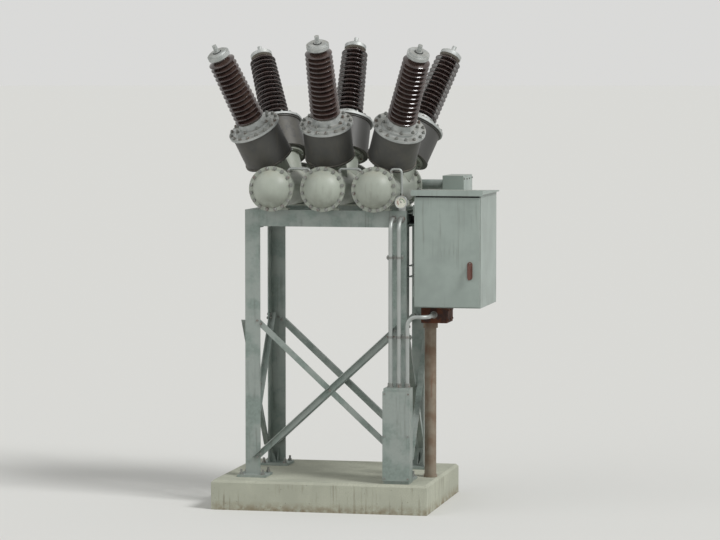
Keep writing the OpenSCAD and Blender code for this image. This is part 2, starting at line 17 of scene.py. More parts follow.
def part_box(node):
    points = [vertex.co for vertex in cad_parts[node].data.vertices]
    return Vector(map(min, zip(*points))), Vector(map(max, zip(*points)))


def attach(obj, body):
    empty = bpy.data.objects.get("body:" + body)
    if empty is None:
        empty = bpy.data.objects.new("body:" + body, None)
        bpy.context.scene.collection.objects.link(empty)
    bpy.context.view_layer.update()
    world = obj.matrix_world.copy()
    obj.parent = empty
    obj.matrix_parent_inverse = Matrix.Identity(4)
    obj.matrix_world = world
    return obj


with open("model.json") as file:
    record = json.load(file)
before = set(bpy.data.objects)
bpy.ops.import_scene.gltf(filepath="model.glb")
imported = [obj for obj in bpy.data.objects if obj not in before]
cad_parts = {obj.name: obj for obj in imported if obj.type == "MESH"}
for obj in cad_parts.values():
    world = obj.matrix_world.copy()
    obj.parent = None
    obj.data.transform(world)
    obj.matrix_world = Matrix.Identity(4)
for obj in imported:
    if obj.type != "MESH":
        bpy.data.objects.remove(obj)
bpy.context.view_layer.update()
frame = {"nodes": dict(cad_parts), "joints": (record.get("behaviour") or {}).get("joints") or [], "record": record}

bl_info = {
    "name": "Dead-tank circuit breaker",
    "version": (1, 0, 0),
    "blender": (4, 5, 0),
    "location": "3D View > Sidebar > Breaker",
    "description": "Finishes and small fittings for a substation circuit breaker",
    "category": "Object",
}

POLES = (-1, 0, 1)
ENDS = (-1, 1)
CORNERS = tuple(product(ENDS, ENDS))
POLE_ENDS = tuple(product(POLES, ENDS))
UP = Vector((0, 0, 1))
RIGHT = Vector((1, 0, 0))
REAR = Vector((0, 1, 0))
FRONT = -REAR


def low_of(node):
    """The lowest corner of a solid's box."""
    return Vector(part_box(node)[0])


def high_of(node):
    """The highest corner of a solid's box."""
    return Vector(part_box(node)[1])


def middle_of(node):
    """The centre of a solid's box."""
    return (low_of(node) + high_of(node)) / 2


# Sizes that the solids are built with, in metres
LEG_SIZE = 0.130
LEG_T = 0.010
FOOT_T = 0.020
RAIL_FLANGE = 0.060
RAIL_T = 0.008
SADDLE_PLATE_T = 0.015
CAP_PLATE_T = 0.012
BRACE_SIZE = 0.050
BRACE_T = 0.006
BRACE_LOW = 0.420
BRACE_HIGH = 1.580
TANK_R = 0.160
FLANGE_R = 0.190
FLANGE_T = 0.025
NECK_R = 0.130
NECK_Y = 0.140
COLLAR_H = 0.022
PLATE_T = 0.020
BASE_FLANGE_H = 0.022
CAP_H = 0.045
HUB_R = 0.030
CRANK_HALF_W = 0.100
LINKAGE_R = 0.045
PIPE_R = 0.010
GAUGE_R = 0.055
DRIVE_FOOT_D = 0.160
DRIVE_STEP_H = 0.280
CABINET_D = 0.800
SHEET_T = 0.003
RIM_W = 0.035
BRACKET_H = 0.100
HINGE_HEIGHTS = (1.800, 2.480)
KNUCKLE_H = 0.030
HANDLE_T = 0.006
SPINDLE_H = 0.110
CONDUIT_R = 0.017
CONDUIT_PITCH = 0.072
CLIP_H = 0.040
GLAND_FLANGE = 0.018
GLAND_FLANGE_T = 0.006
GLAND_COVER_T = 0.004

# How far up a bushing's own axis its pieces end, from the tank's centre line
NECK_TOP = 0.300
DRUM_TOP = 0.602
PORCELAIN_LOW = 0.692
PORCELAIN_HIGH = 1.322

# Radii of the circles that the bolts stand on, in metres
FLANGE_BOLTS_R = 0.174
COLLAR_BOLTS_R = 0.151
DRUM_BOLTS_R = 0.204
BASE_BOLTS_R = 0.144
LID_BOLTS_R = 0.083

# Widths across the flats that go with the bolts' threads, in metres
M6 = 0.010
M8 = 0.013
M10 = 0.017
M12 = 0.019
M16 = 0.024
M20 = 0.030

# Places that the frame gives, in metres
PLINTH_TOP = high_of("plinth").z
FRAME_TOP = high_of("top_frame").z
RAIL_LOW = low_of("top_frame").z
FRAME_X = high_of("top_frame").x
FRAME_Y = high_of("top_frame").y
POLE_PITCH = middle_of("tank_cover_right").x
TANK_AXIS = middle_of("tank_cover_middle").z
TANK_END = -high_of("tank_cover_middle").y
LINKAGE_Y = middle_of("linkage_tube").y
SHELL_LOW = low_of("cabinet_shell")
SHELL_HIGH = high_of("cabinet_shell")
SHELL_LEFT = high_of("cabinet_bracket").x
# The shell's box also holds its hinge leaves, so its front comes from its depth
SHELL_FRONT = SHELL_HIGH.y - CABINET_D
DOOR_FACE = low_of("cabinet_door").y
HINGE_X = frame["joints"][0]["pos_m"][0]

# How the bushings lean, from the direction of one terminal
TERMINAL_AXIS = next(m["axis"] for m in frame["record"]["mounts"] if m["name"] == "terminal_front_right")
TILT = math.asin(-TERMINAL_AXIS[1])
SPLAY = math.atan2(TERMINAL_AXIS[0], TERMINAL_AXIS[2])


def linear(code):
    """A colour written as an sRGB hex value, as the linear red, green and blue that nodes use."""
    values = [int(code[i:i + 2], 16) / 255 for i in (1, 3, 5)]
    return tuple(v / 12.92 if v <= 0.04045 else ((v + 0.055) / 1.055) ** 2.4 for v in values)


def colour_setting(name, about, code):
    """A colour that the sidebar offers."""
    return FloatVectorProperty(
        name=name, description=about, subtype="COLOR", size=3, min=0.0, max=1.0, default=linear(code)
    )


def length_setting(name, about, size):
    """A length in metres that the sidebar offers."""
    return FloatProperty(
        name=name, description=about, unit="LENGTH", subtype="DISTANCE", min=0.0, default=size
    )


def count_setting(name, about, count):
    """A number of bolts that the sidebar offers."""
    return IntProperty(name=name, description=about, min=4, default=count)


class BreakerColours(bpy.types.PropertyGroup):
    """The colours of the breaker's finishes."""

    concrete: colour_setting("Concrete", "Cast concrete of the plinth", "#b4b6a6")
    zinc: colour_setting("Zinc", "Weathered hot-dip zinc of the frame", "#84908a")
    tank: colour_setting("Tank enamel", "Pale grey enamel of the tanks", "#a2a89d")
    drum: colour_setting("Drum enamel", "Dark enamel of the current transformers", "#464644")
    cabinet: colour_setting("Cabinet enamel", "Light grey enamel of the cabinet", "#949f99")
    glaze: colour_setting("Glaze", "Brown glaze of the porcelain", "#372927")
    handle: colour_setting("Handle enamel", "Faded red-brown enamel of the door handle", "#67433a")
    rust: colour_setting("Rust", "Rust where the enamel has gone", "#6b3d26")


class BreakerSizes(bpy.types.PropertyGroup):
    """The sizes of the fittings that this script adds."""

    flange_bolt: length_setting("Flange bolt", "Width across the flats of the tank flange bolts", M16)
    flange_bolts: count_setting("Bolts a flange", "Bolts round a tank flange", 16)
    drum_bolts: count_setting("Bolts a drum", "Bolts round a drum's top plate", 16)
    base_bolts: count_setting("Bolts a base", "Bolts round a bushing's foot", 8)
    cement_h: length_setting("Cement height", "Height of the cement at a porcelain's ends", 0.012)
    seal_w: length_setting("Seal width", "Width of the door's rubber seal", 0.020)
    dial_r: length_setting("Dial radius", "Radius of the gas gauge's dial", 0.046)


def put(tree, socket, value):
    """Links a socket to another node's output, or sets it to a plain value."""
    if isinstance(value, bpy.types.NodeSocket):
        tree.links.new(value, socket)
    else:
        socket.default_value = value


def add(tree, kind, inputs=None, **settings):
    """Adds one shader node: settings are its options, and inputs its sockets by name or number."""
    made = tree.nodes.new("ShaderNode" + kind)
    for name, value in settings.items():
        setattr(made, name, value)
    for key, value in (inputs or {}).items():
        put(tree, made.inputs[key], value)
    return made


def shade(colour, factor=1.0):
    """A hex value or a named colour setting, made lighter or darker, as a node's socket takes it."""
    settings = bpy.context.scene.breaker_colours
    values = linear(colour) if colour.startswith("#") else getattr(settings, colour)
    return tuple(min(1.0, value * factor) for value in values) + (1.0,)


def times(tree, *values):
    """The product of masks or numbers."""
    result = values[0]
    for value in values[1:]:
        result = add(tree, "Math", {0: result, 1: value}, operation="MULTIPLY").outputs[0]
    return result


def most(tree, *values):
    """The greatest of masks or numbers."""
    result = values[0]
    for value in values[1:]:
        result = add(tree, "Math", {0: result, 1: value}, operation="MAXIMUM").outputs[0]
    return result


def layered(tree, base, *coats):
    """A colour under coats: each is a colour, and the masks and strengths that thin it."""
    for colour, *masks in coats:
        mask = times(tree, *masks)
        base = add(tree, "Mix", {0: mask, 6: base, 7: colour}, data_type="RGBA").outputs[2]
    return base


def patches(tree, place, across, low=0.4, high=0.6, detail=3.0, stretch=(1.0, 1.0, 1.0)):
    """A mask from 0 to 1 of soft patches, about that far across in metres."""
    at = add(tree, "Mapping", {"Vector": place, "Scale": [1 / (across * s) for s in stretch]})
    sockets = {"Vector": at.outputs[0], "Scale": 1.0, "Detail": detail, "Roughness": 0.55}
    noise = add(tree, "TexNoise", sockets)
    sockets = {"Value": noise.outputs[0], "From Min": low, "From Max": high}
    return add(tree, "MapRange", sockets, interpolation_type="SMOOTHSTEP").outputs[0]


def looking_up(tree):
    """How far a face looks up: 1 for a level top, 0 for a wall, -1 for an underside."""
    normal = add(tree, "NewGeometry").outputs["Normal"]
    return add(tree, "SeparateXYZ", {0: normal}).outputs["Z"]


def relief(tree, height, depth, strength, rounding=0.002):
    """A normal with bumps of that depth where the mask is high, on edges rounded by that radius."""
    rounded = add(tree, "Bevel", {"Radius": rounding}, samples=4).outputs[0]
    sockets = {"Height": height, "Distance": depth, "Strength": strength, "Normal": rounded}
    return add(tree, "Bump", sockets).outputs[0]


def rain_streaks(tree, place):
    """A mask of thin runs down the upright faces, 25 mm wide and half a metre long, in groups."""
    runs = patches(tree, place, 0.025, 0.5, 0.72, stretch=(1.0, 1.0, 20.0))
    groups = patches(tree, place, 0.3, 0.42, 0.62)
    level = add(tree, "Math", {0: looking_up(tree)}, operation="ABSOLUTE").outputs[0]
    upright = add(tree, "Math", {0: 1.0, 1: level}, operation="SUBTRACT", use_clamp=True).outputs[0]
    return times(tree, runs, groups, upright)


def painted_underside_shade(tree, place):
    """A mask of painted shade on the faces that look down, broken into 80 mm patches."""
    down = add(tree, "MapRange", {"Value": looking_up(tree), "From Min": -0.15, "From Max": -0.9})
    return times(tree, down.outputs[0], patches(tree, place, 0.08, 0.25, 0.65))


def settled_dust(tree, place):
    """A mask of dust on what looks up, broken by 60 mm patches."""
    up = add(tree, "MapRange", {"Value": looking_up(tree), "From Min": 0.35, "From Max": 0.95})
    return times(tree, up.outputs[0], patches(tree, place, 0.06, 0.3, 0.62))


def worn_edges(tree, place, reach):
    """A mask of the sharp edges, as wide as reach and broken up along their length."""
    rounded = add(tree, "Bevel", {"Radius": reach}, samples=4).outputs[0]
    true = add(tree, "NewGeometry").outputs["Normal"]
    same = add(tree, "VectorMath", {0: rounded, 1: true}, operation="DOT_PRODUCT")
    edge = add(tree, "MapRange", {"Value": same.outputs["Value"], "From Min": 0.97, "From Max": 0.8})
    return times(tree, edge.outputs[0], patches(tree, place, 0.018, 0.42, 0.62))


def outdoors(tree, place, low, high):
    """1 outside the box between two corners, where the weather reaches, and 0 inside it."""
    centre, half = (low + high) / 2, (high - low) / 2
    offset = add(tree, "VectorMath", {0: place, 1: centre}, operation="SUBTRACT").outputs[0]
    distance = add(tree, "VectorMath", {0: offset}, operation="ABSOLUTE").outputs[0]
    beyond = add(tree, "VectorMath", {0: distance, 1: half}, operation="SUBTRACT").outputs[0]
    axes = add(tree, "SeparateXYZ", {0: beyond}).outputs
    farthest = most(tree, axes[0], axes[1], axes[2])
    return add(tree, "Math", {0: farthest, 1: 0.0}, operation="GREATER_THAN").outputs[0]


def weathered_concrete(tree, place):
    """Form-cast concrete: pale and gritty, with pores, rain marks and earth splashed on its foot."""
    clouds = patches(tree, place, 0.35, 0.35, 0.65)
    tone = layered(tree, shade("concrete", 0.84), (shade("concrete", 1.1), clouds))
    # Sand grains of about 3 mm, drawn at 6 mm so that they show
    grit = patches(tree, place, 0.006, 0.35, 0.65, detail=2.0)
    # Splashed earth along the lowest 85 mm
    height = add(tree, "SeparateXYZ", {0: place}).outputs["Z"]
    foot = add(tree, "MapRange", {"Value": height, "From Min": 0.085, "From Max": 0.0}).outputs[0]
    # Air pores of 5 mm, 40 mm apart
    cells = add(tree, "TexVoronoi", {"Vector": place, "Scale": 1 / 0.04, "Randomness": 1.0})
    sockets = {"Value": cells.outputs["Distance"], "From Min": 0.11, "From Max": 0.07}
    pore = add(tree, "MapRange", sockets).outputs[0]
    hollows = most(tree, pore, times(tree, grit, 0.25))
    surface = add(tree, "Math", {0: 1.0, 1: hollows}, operation="SUBTRACT", use_clamp=True).outputs[0]
    return {
        "Base Color": layered(
            tree, shade("concrete", 0.8),
            (tone, grit),
            (shade("#6e6656"), rain_streaks(tree, place), 0.6),
            (shade("#7d7059"), foot, patches(tree, place, 0.05, 0.25, 0.7)),
            (shade("concrete", 0.45), pore),
        ),
        "Roughness": 0.92,
        "Specular IOR Level": 0.3,
        "Normal": relief(tree, surface, depth=0.003, strength=0.7, rounding=0.006),
    }


def spangled_zinc(tree, place, colour, crystal, depth, roughness, age):
    """Hot-dip zinc: crystals of that size and depth of tone, clouded, streaked and browned by weathering, and
    darkened with painted shade on faces that look down; age sets how strong these are.
    """
    crystals = add(tree, "TexVoronoi", {"Vector": place, "Scale": 1 / crystal, "Randomness": 1.0})
    flake = add(tree, "SeparateColor", {0: crystals.outputs["Color"]}).outputs[0]
    strength = 0.5 * age
    sockets = {"Value": flake, "To Min": roughness - 0.07, "To Max": roughness + 0.07}
    waves = patches(tree, place, 0.012, 0.3, 0.7, detail=2.0)
    return {
        "Base Color": layered(
            tree, shade(colour, 1 - depth),
            (shade(colour, 1 + depth), flake),
            (shade("#a7aca8"), patches(tree, place, 0.2), strength),
            (shade("#676a64"), rain_streaks(tree, place), strength),
            # Painted shade: a darker grey on the faces that look down
            (shade("#62625a"), painted_underside_shade(tree, place), strength),
            (shade("#7a6653"), worn_edges(tree, place, 0.003), strength),
        ),
        "Metallic": 0.35,
        "Roughness": add(tree, "MapRange", sockets).outputs[0],
        "Normal": relief(tree, waves, depth=0.0004, strength=0.5),
    }


def frame_zinc(tree, place):
    """Galvanized structural steel: dull grey-green with 18 mm spangle."""
    return spangled_zinc(tree, place, "zinc", crystal=0.018, depth=0.1, roughness=0.56, age=1.0)


def sheet_zinc(tree, place):
    """Continuously galvanized sheet kept dry indoors: bright, with small spangle."""
    return spangled_zinc(tree, place, "#a9adab", crystal=0.010, depth=0.12, roughness=0.40, age=0.1)


def weathered_enamel(tree, place, colour, roughness=0.45, chipping=0.3, soot=0.3, indoors=None):
    """Sprayed alkyd enamel on steel: chalked by the sun, streaked by rain, rusty where it chips, and darkened with
    painted shade on faces that look down.

    Indoors holds two corners of a box that the weather doesn't reach.
    """
    reach = outdoors(tree, place, *indoors) if indoors else 1.0
    # Chips of 4 to 10 mm, few and mostly near edges
    spots = patches(tree, place, 0.012, 0.735, 0.75, detail=4.0)
    bare = times(tree, most(tree, spots, worn_edges(tree, place, 0.004)), 2 * chipping, reach)
    # Orange peel of the spray, 6 mm across so that it shows
    peel = patches(tree, place, 0.006, 0.2, 0.8, detail=1.0)
    film = add(tree, "Math", {0: peel, 1: bare}, operation="SUBTRACT", use_clamp=True).outputs[0]
    sockets = {"Value": bare, "To Min": roughness, "To Max": 0.85}
    return {
        "Base Color": layered(
            tree, shade(colour, 0.92),
            (shade(colour, 1.07), patches(tree, place, 0.28, 0.35, 0.65)),
            (shade("#5b574c"), rain_streaks(tree, place), soot, reach),
            # Painted shade: a darker grey on the faces that look down
            (shade("#5f5c50"), painted_underside_shade(tree, place), 0.55, reach),
            (shade("#a39d8b"), settled_dust(tree, place), 0.45, reach),
            (shade("rust"), bare),
        ),
        "IOR": 1.5,
        "Roughness": add(tree, "MapRange", sockets).outputs[0],
        "Normal": relief(tree, film, depth=0.0003, strength=0.35, rounding=0.0025),
    }


def tank_enamel(tree, place):
    """The tanks' enamel: pale grey, chalked matt."""
    return weathered_enamel(tree, place, "tank")


def drum_enamel(tree, place):
    """The current transformers' enamel: dark grey, which shows the dust more than the pale one."""
    return weathered_enamel(tree, place, "drum", roughness=0.5, chipping=0.25, soot=0.6)


def cabinet_enamel(tree, place):
    """The cabinet's enamel: light grey, and clean where the door and the walls keep the weather off."""
    skin = Vector((SHEET_T, SHEET_T, SHEET_T)) / 2
    inside = (Vector((SHELL_LEFT, DOOR_FACE, SHELL_LOW.z)) + skin, SHELL_HIGH - skin)
    return weathered_enamel(tree, place, "cabinet", roughness=0.42, indoors=inside)


def handle_enamel(tree, place):
    """The handle's enamel: faded red-brown, chipped where hands and padlocks rub it."""
    return weathered_enamel(tree, place, "handle", roughness=0.5, chipping=0.5)


def rusty_steel(tree, place):
    """Steel whose paint has gone: matt brown-black scale with red-brown patches and a little bloom."""
    scale = patches(tree, place, 0.006, 0.3, 0.7, detail=4.0)
    return {
        "Base Color": layered(
            tree, shade("#3a2722"),
            (shade("rust", 0.7), patches(tree, place, 0.07)),
            (shade("#744a33"), patches(tree, place, 0.02, 0.5, 0.7, detail=5.0), 0.4),
        ),
        "Roughness": 0.85,
        "Normal": relief(tree, scale, depth=0.0008, strength=0.8),
    }


def riser_steel(tree, place):
    """Rigid steel pipe whose zinc has turned: tan with brown clouds and rusty runs."""
    return {
        "Base Color": layered(
            tree, shade("#8a8071"),
            (shade("#75614f"), patches(tree, place, 0.12, 0.3, 0.7)),
            (shade("rust"), rain_streaks(tree, place), 0.8),
        ),
        "Metallic": 0.2,
        "Roughness": 0.6,
        "Normal": relief(tree, patches(tree, place, 0.008, 0.3, 0.7), depth=0.0004, strength=0.5),
    }


def brown_glaze(tree, place):
    """Wet-process porcelain under a glossy chocolate glaze that reddens in patches and holds dust."""
    dust = times(tree, settled_dust(tree, place), 0.3)
    flow = patches(tree, place, 0.03, 0.2, 0.8, detail=1.0)
    return {
        "Base Color": layered(
            tree, shade("glaze", 0.8),
            (shade("glaze", 1.25), patches(tree, place, 0.05, 0.35, 0.65)),
            (shade("#7c6a5c"), dust),
        ),
        "IOR": 1.52,
        "Coat Weight": 0.5,
        "Coat Roughness": 0.08,
        "Roughness": add(tree, "MapRange", {"Value": dust, "To Min": 0.14, "To Max": 0.7}).outputs[0],
        "Normal": relief(tree, flow, depth=0.0006, strength=0.3),
    }


def cast_aluminium(tree, place):
    """Sand-cast aluminium: pale and grainy, gone dull in the open."""
    # Sand grain of 1 mm, drawn at 3 mm so that it shows
    grain = patches(tree, place, 0.003, 0.3, 0.7, detail=1.0)
    return {
        "Base Color": layered(
            tree, shade("#a9adab"),
            (shade("#bcbfbd"), patches(tree, place, 0.08)),
            (shade("#8c877a"), settled_dust(tree, place), 0.45),
        ),
        "Metallic": 0.55,
        "Roughness": 0.55,
        "Normal": relief(tree, grain, depth=0.0004, strength=0.6, rounding=0.003),
    }


def zinc_tube(tree, place):
    """Galvanized rigid conduit: smoother and brighter than the frame, dulled in long patches."""
    dull = patches(tree, place, 0.05, 0.3, 0.7, stretch=(1.0, 1.0, 4.0))
    return {
        "Base Color": layered(tree, shade("#a2a7a4"), (shade("#aeb2af"), dull)),
        "Metallic": 0.5,
        "Roughness": 0.45,
        "Normal": relief(tree, patches(tree, place, 0.01, 0.3, 0.7), depth=0.0002, strength=0.4),
    }


def plated_steel(tree, place):
    """Zinc-plated fasteners: dull grey, a little browned in patches."""
    spots = times(tree, patches(tree, place, 0.03, 0.5, 0.75), 0.7)
    return {
        "Base Color": layered(tree, shade("#8b8d89"), (shade("rust", 1.1), spots)),
        "Metallic": 0.6,
        "Roughness": add(tree, "MapRange", {"Value": spots, "To Min": 0.42, "To Max": 0.8}).outputs[0],
    }


def portland_cement(tree, place):
    """The sanded cement that sets a porcelain in its metal: grey and slightly rough."""
    sand = patches(tree, place, 0.004, 0.3, 0.7, detail=2.0)
    return {
        "Base Color": layered(tree, shade("#817d74"), (shade("#9d988c"), sand)),
        "Roughness": 0.95,
        "Normal": relief(tree, sand, depth=0.0008, strength=0.8),
    }


def black_rubber(tree, place):
    """Extruded EPDM seal: nearly black and matt, with a faint bloom."""
    return {
        "Base Color": layered(tree, shade("#1f2021"), (shade("#2d2e2e"), patches(tree, place, 0.03))),
        "Roughness": 0.75,
    }


def dial_face(tree, place, code):
    """Printed card behind the gauge's glass: matt, yellowed a little in patches, under a clear gloss."""
    return {
        "Base Color": layered(tree, shade(code, 0.93), (shade(code), patches(tree, place, 0.03))),
        "Roughness": 0.6,
        "Coat Weight": 1.0,
        "Coat Roughness": 0.03,
    }


# The material of each slot and of the small fittings, with what makes its sockets
FINISHES = {
    "concrete": ("Weathered cast concrete", weathered_concrete),
    "galvanized_steel": ("Weathered hot-dip zinc", frame_zinc),
    "tank_paint": ("Chalked pale grey enamel", tank_enamel),
    "transformer_paint": ("Chalked dark enamel", drum_enamel),
    "cabinet_paint": ("Chalked light grey enamel", cabinet_enamel),
    "handle_paint": ("Faded red-brown enamel", handle_enamel),
    "brown_porcelain": ("Brown glazed porcelain", brown_glaze),
    "cast_aluminium": ("Sand-cast aluminium", cast_aluminium),
    "gauge_metal": ("Sand-cast aluminium", cast_aluminium),
    "pipe_metal": ("Galvanized conduit", zinc_tube),
    "conduit_metal": ("Galvanized conduit", zinc_tube),
    "rusty_steel": ("Rusted painted steel", rusty_steel),
    "riser_steel": ("Browned zinc pipe", riser_steel),
    "sheet": ("Bright galvanized sheet", sheet_zinc),
    "fastener": ("Plated steel fasteners", plated_steel),
    "cement": ("Sanded Portland cement", portland_cement),
    "rubber": ("Extruded EPDM rubber", black_rubber),
    "card": ("White dial card", partial(dial_face, code="#dcdccf")),
    "ink": ("Black dial print", partial(dial_face, code="#222222")),
    "green": ("Green dial print", partial(dial_face, code="#3f7a4a")),
    "red": ("Red dial print", partial(dial_face, code="#a03a30")),
}


def new_material(name, sockets_of):
    """A material whose shader takes the sockets that a function makes from the object's own metres."""
    material = bpy.data.materials.new(name)
    material.use_nodes = True
    tree = material.node_tree
    place = add(tree, "TexCoord").outputs["Object"]
    for socket, value in sockets_of(tree, place).items():
        put(tree, tree.nodes["Principled BSDF"].inputs[socket], value)
    return material


def finish(name):
    """The material of a slot or a small fitting, made once."""
    title, sockets_of = FINISHES[name]
    return bpy.data.materials.get(title) or new_material(title, sockets_of)


def keep_piece(bm, name, slot, material=None, body="breaker"):
    """Makes the mesh an object that rides on a body. It has its slot's finish or another one."""
    bmesh.ops.remove_doubles(bm, verts=bm.verts, dist=1e-6)
    bmesh.ops.recalc_face_normals(bm, faces=bm.faces)
    mesh = bpy.data.meshes.new(name)
    bm.to_mesh(mesh)
    bm.free()
    mesh.shade_smooth()
    mesh.set_sharp_from_angle(angle=math.radians(32))
    mesh.materials.append(finish(material or slot))
    piece = bpy.data.objects.new(name, mesh)
    bpy.context.collection.objects.link(piece)
    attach(piece, body)


def seat(point, outward):
    """A place at that point whose own +Z points outward."""
    turned = Vector(outward).to_track_quat("Z", "Y").to_matrix().to_4x4()
    return Matrix.Translation(point) @ turned


def seats(outward, *axes):
    """Places wherever the given x, y and z values meet, all with their own +Z outward."""
    return [seat(point, outward) for point in product(*axes)]


def round_seats(hubs, radius, count):
    """Places on a circle of that radius round each hub, which is a place itself."""
    turns = [Matrix.Rotation(math.tau * (i + 0.5) / count, 4, "Z") for i in range(count)]
    return [hub @ turn @ Matrix.Translation((radius, 0, 0)) for hub in hubs for turn in turns]


def from_corner(side, end, x, y, z):
    """A point at height z that lies x and y in from one of the frame's corners."""
    return Vector((side * (FRAME_X - x), end * (FRAME_Y - y), z))


def tank_joint(pole, end, way):
    """The centre of the flanges at a tank's end, with +Z outward for a way of 1 and inward for -1."""
    return seat((pole * POLE_PITCH, end * TANK_END, TANK_AXIS), REAR * end * way)


def bushing_place(pole, end, along):
    """The place that far up a bushing's own axis from the tank's centre line."""
    tank = Matrix.Translation((pole * POLE_PITCH, 0, TANK_AXIS)) @ Matrix.Rotation(pole * SPLAY, 4, "Y")
    neck = Matrix.Translation((0, end * NECK_Y, 0)) @ Matrix.Rotation(-end * TILT, 4, "X")
    return tank @ neck @ Matrix.Translation((0, 0, along))


def all_bushings(along):
    """The place that far up each of the six bushings."""
    return [bushing_place(pole, end, along) for pole, end in POLE_ENDS]


def disc(bm, radius, low, high, sides=24, place=Matrix()):
    """A short cylinder from one height to another on a place's own axis."""
    middle = place @ Matrix.Translation((0, 0, (low + high) / 2))
    return bmesh.ops.create_cone(
        bm, cap_ends=True, segments=sides, radius1=radius, radius2=radius, depth=high - low, matrix=middle
    )["verts"]


def soften(bm, verts, width, segments=2, top_only=False):
    """Bevels the edges between those vertices, or only those round their highest face."""
    edges = {e for v in verts for e in v.link_edges}
    if top_only:
        top = max(v.co.z for v in verts)
        edges = {e for e in edges if all(abs(v.co.z - top) < 1e-6 for v in e.verts)}
    bmesh.ops.bevel(
        bm, geom=list(edges), offset=width, segments=segments, profile=0.5, affect="EDGES", material=-1
    )


def fastener(across, height=0.42, thread=0.0, washer=0.10):
    """The mesh of a hexagon head on a washer, seated on z = 0.

    Across is the width over its flats. The heights of the head, of the thread's end above it and of
    the washer are shares of that width.
    """
    washer_r, corner_r, thread_r = across * 0.64, across / math.sqrt(3), across * 0.32
    head_edge, thread_edge = across * 0.06, across * 0.05
    base = across * washer
    top = base + across * height
    bm = bmesh.new()
    disc(bm, washer_r, 0, base, sides=20)
    hexagon = disc(bm, corner_r, base, top, sides=6)
    soften(bm, hexagon, head_edge, segments=1, top_only=True)
    if thread:
        end = disc(bm, thread_r, top, top + across * thread, sides=12)
        soften(bm, end, thread_edge, segments=1, top_only=True)
    mesh = bpy.data.meshes.new("fastener pattern")
    bm.to_mesh(mesh)
    bm.free()
    return mesh


def nut(across, thread=0.3):
    """The mesh of a nut on a washer, with its bolt's end above it."""
    return fastener(across, height=0.54, thread=thread)


def stamp(bm, pattern, places):
    """Adds a copy of the pattern's mesh at each place."""
    for place in places:
        known = len(bm.verts)
        bm.from_mesh(pattern)
        bm.verts.ensure_lookup_table()
        bmesh.ops.transform(bm, matrix=place, verts=bm.verts[known:])
    bpy.data.meshes.remove(pattern)


def keep_fasteners(name, slot, *sets, material="fastener", body="breaker"):
    """One piece from sets of a pattern and its places."""
    bm = bmesh.new()
    for pattern, places in sets:
        stamp(bm, pattern, places)
    keep_piece(bm, name, slot, material, body)


def turned_ring(bm, outline, place, steps=48):
    """Turns a closed outline of (radius, height) points round a place's own axis."""
    known = len(bm.verts)
    verts = [bm.verts.new((radius, 0, height)) for radius, height in outline]
    edges = [bm.edges.new(pair) for pair in zip(verts, verts[1:] + verts[:1])]
    bmesh.ops.spin(
        bm, geom=verts + edges, cent=(0, 0, 0), axis=(0, 0, 1),
        angle=math.tau, steps=steps, use_merge=True,
    )
    bm.verts.ensure_lookup_table()
    bmesh.ops.transform(bm, matrix=place, verts=bm.verts[known:])


def keep_rings(name, slot, *sets, material=None):
    """One piece from sets of a ring's outline and its places."""
    bm = bmesh.new()
    for outline, places in sets:
        for place in places:
            turned_ring(bm, outline, place)
    keep_piece(bm, name, slot, material)


def block(bm, low, high, edge=0.001, place=Matrix()):
    """A box between two corners with its edges softened."""
    low, high = Vector(low), Vector(high)
    size = Matrix.Diagonal((*(high - low), 1.0))
    at = place @ Matrix.Translation((low + high) / 2) @ size
    soften(bm, bmesh.ops.create_cube(bm, size=1.0, matrix=at)["verts"], edge)


def flat_section(toward, across):
    """Shapes a swept circle of four sides into a bar with those widths towards the side and across."""
    square = Matrix.Rotation(math.pi / 4, 4, "Z") @ Matrix.Scale(math.sqrt(0.5), 4)
    return Matrix.Diagonal((toward, across, 1, 1)) @ square


def swept(bm, points, side, sides, section, closed=False):
    """Sweeps a circle of 1 m radius, shaped by its section, along a path with its +X kept near a side."""
    places = along_path(points, side, closed)
    row = places + places[:1] if closed else places
    first = bmesh.ops.create_circle(
        bm, segments=sides, radius=1.0, matrix=row[0] @ section, cap_ends=not closed
    )
    edges = list({e for v in first["verts"] for e in v.link_edges})
    for here, there in zip(row, row[1:]):
        grown = bmesh.ops.extrude_edge_only(bm, edges=edges)["geom"]
        ring = [g for g in grown if isinstance(g, bmesh.types.BMVert)]
        edges = [g for g in grown if isinstance(g, bmesh.types.BMEdge) and all(v in ring for v in g.verts)]
        bmesh.ops.transform(bm, matrix=there @ here.inverted(), verts=ring)
    if not closed:
        bmesh.ops.contextual_create(bm, geom=edges)


def along_path(points, side, closed=False):
    """Places at the points with +Z along the path and +X as near that side as it can be."""
    last = len(points) - 1
    places = []
    for i, point in enumerate(points):
        before = points[i - 1] if closed or i else point
        after = points[(i + 1) % len(points)] if closed or i < last else point
        along = (after - before).normalized()
        out = along.cross(side).normalized()
        turn = Matrix((out.cross(along), out, along)).transposed().to_4x4()
        places.append(Matrix.Translation(point) @ turn)
    return places


def weld(bm, points, radius, closed=False):
    """A bead of weld along a path, half sunk in the metal."""
    round_section = Matrix.Diagonal((radius, radius, 1, 1))
    swept(bm, points, UP, 8, round_section, closed)


class BREAKER_OT_finishes(bpy.types.Operator):
    """Give each solid of the frame the finish of its material slot."""

    bl_idname = "breaker.finishes"
    bl_label = "Finish the solids"

    def execute(self, context):
        for part in frame["record"]["subparts"]:
            materials = frame["nodes"][part["node"]].data.materials
            materials.clear()
            materials.append(finish(part["material_slot"]))
        return {"FINISHED"}


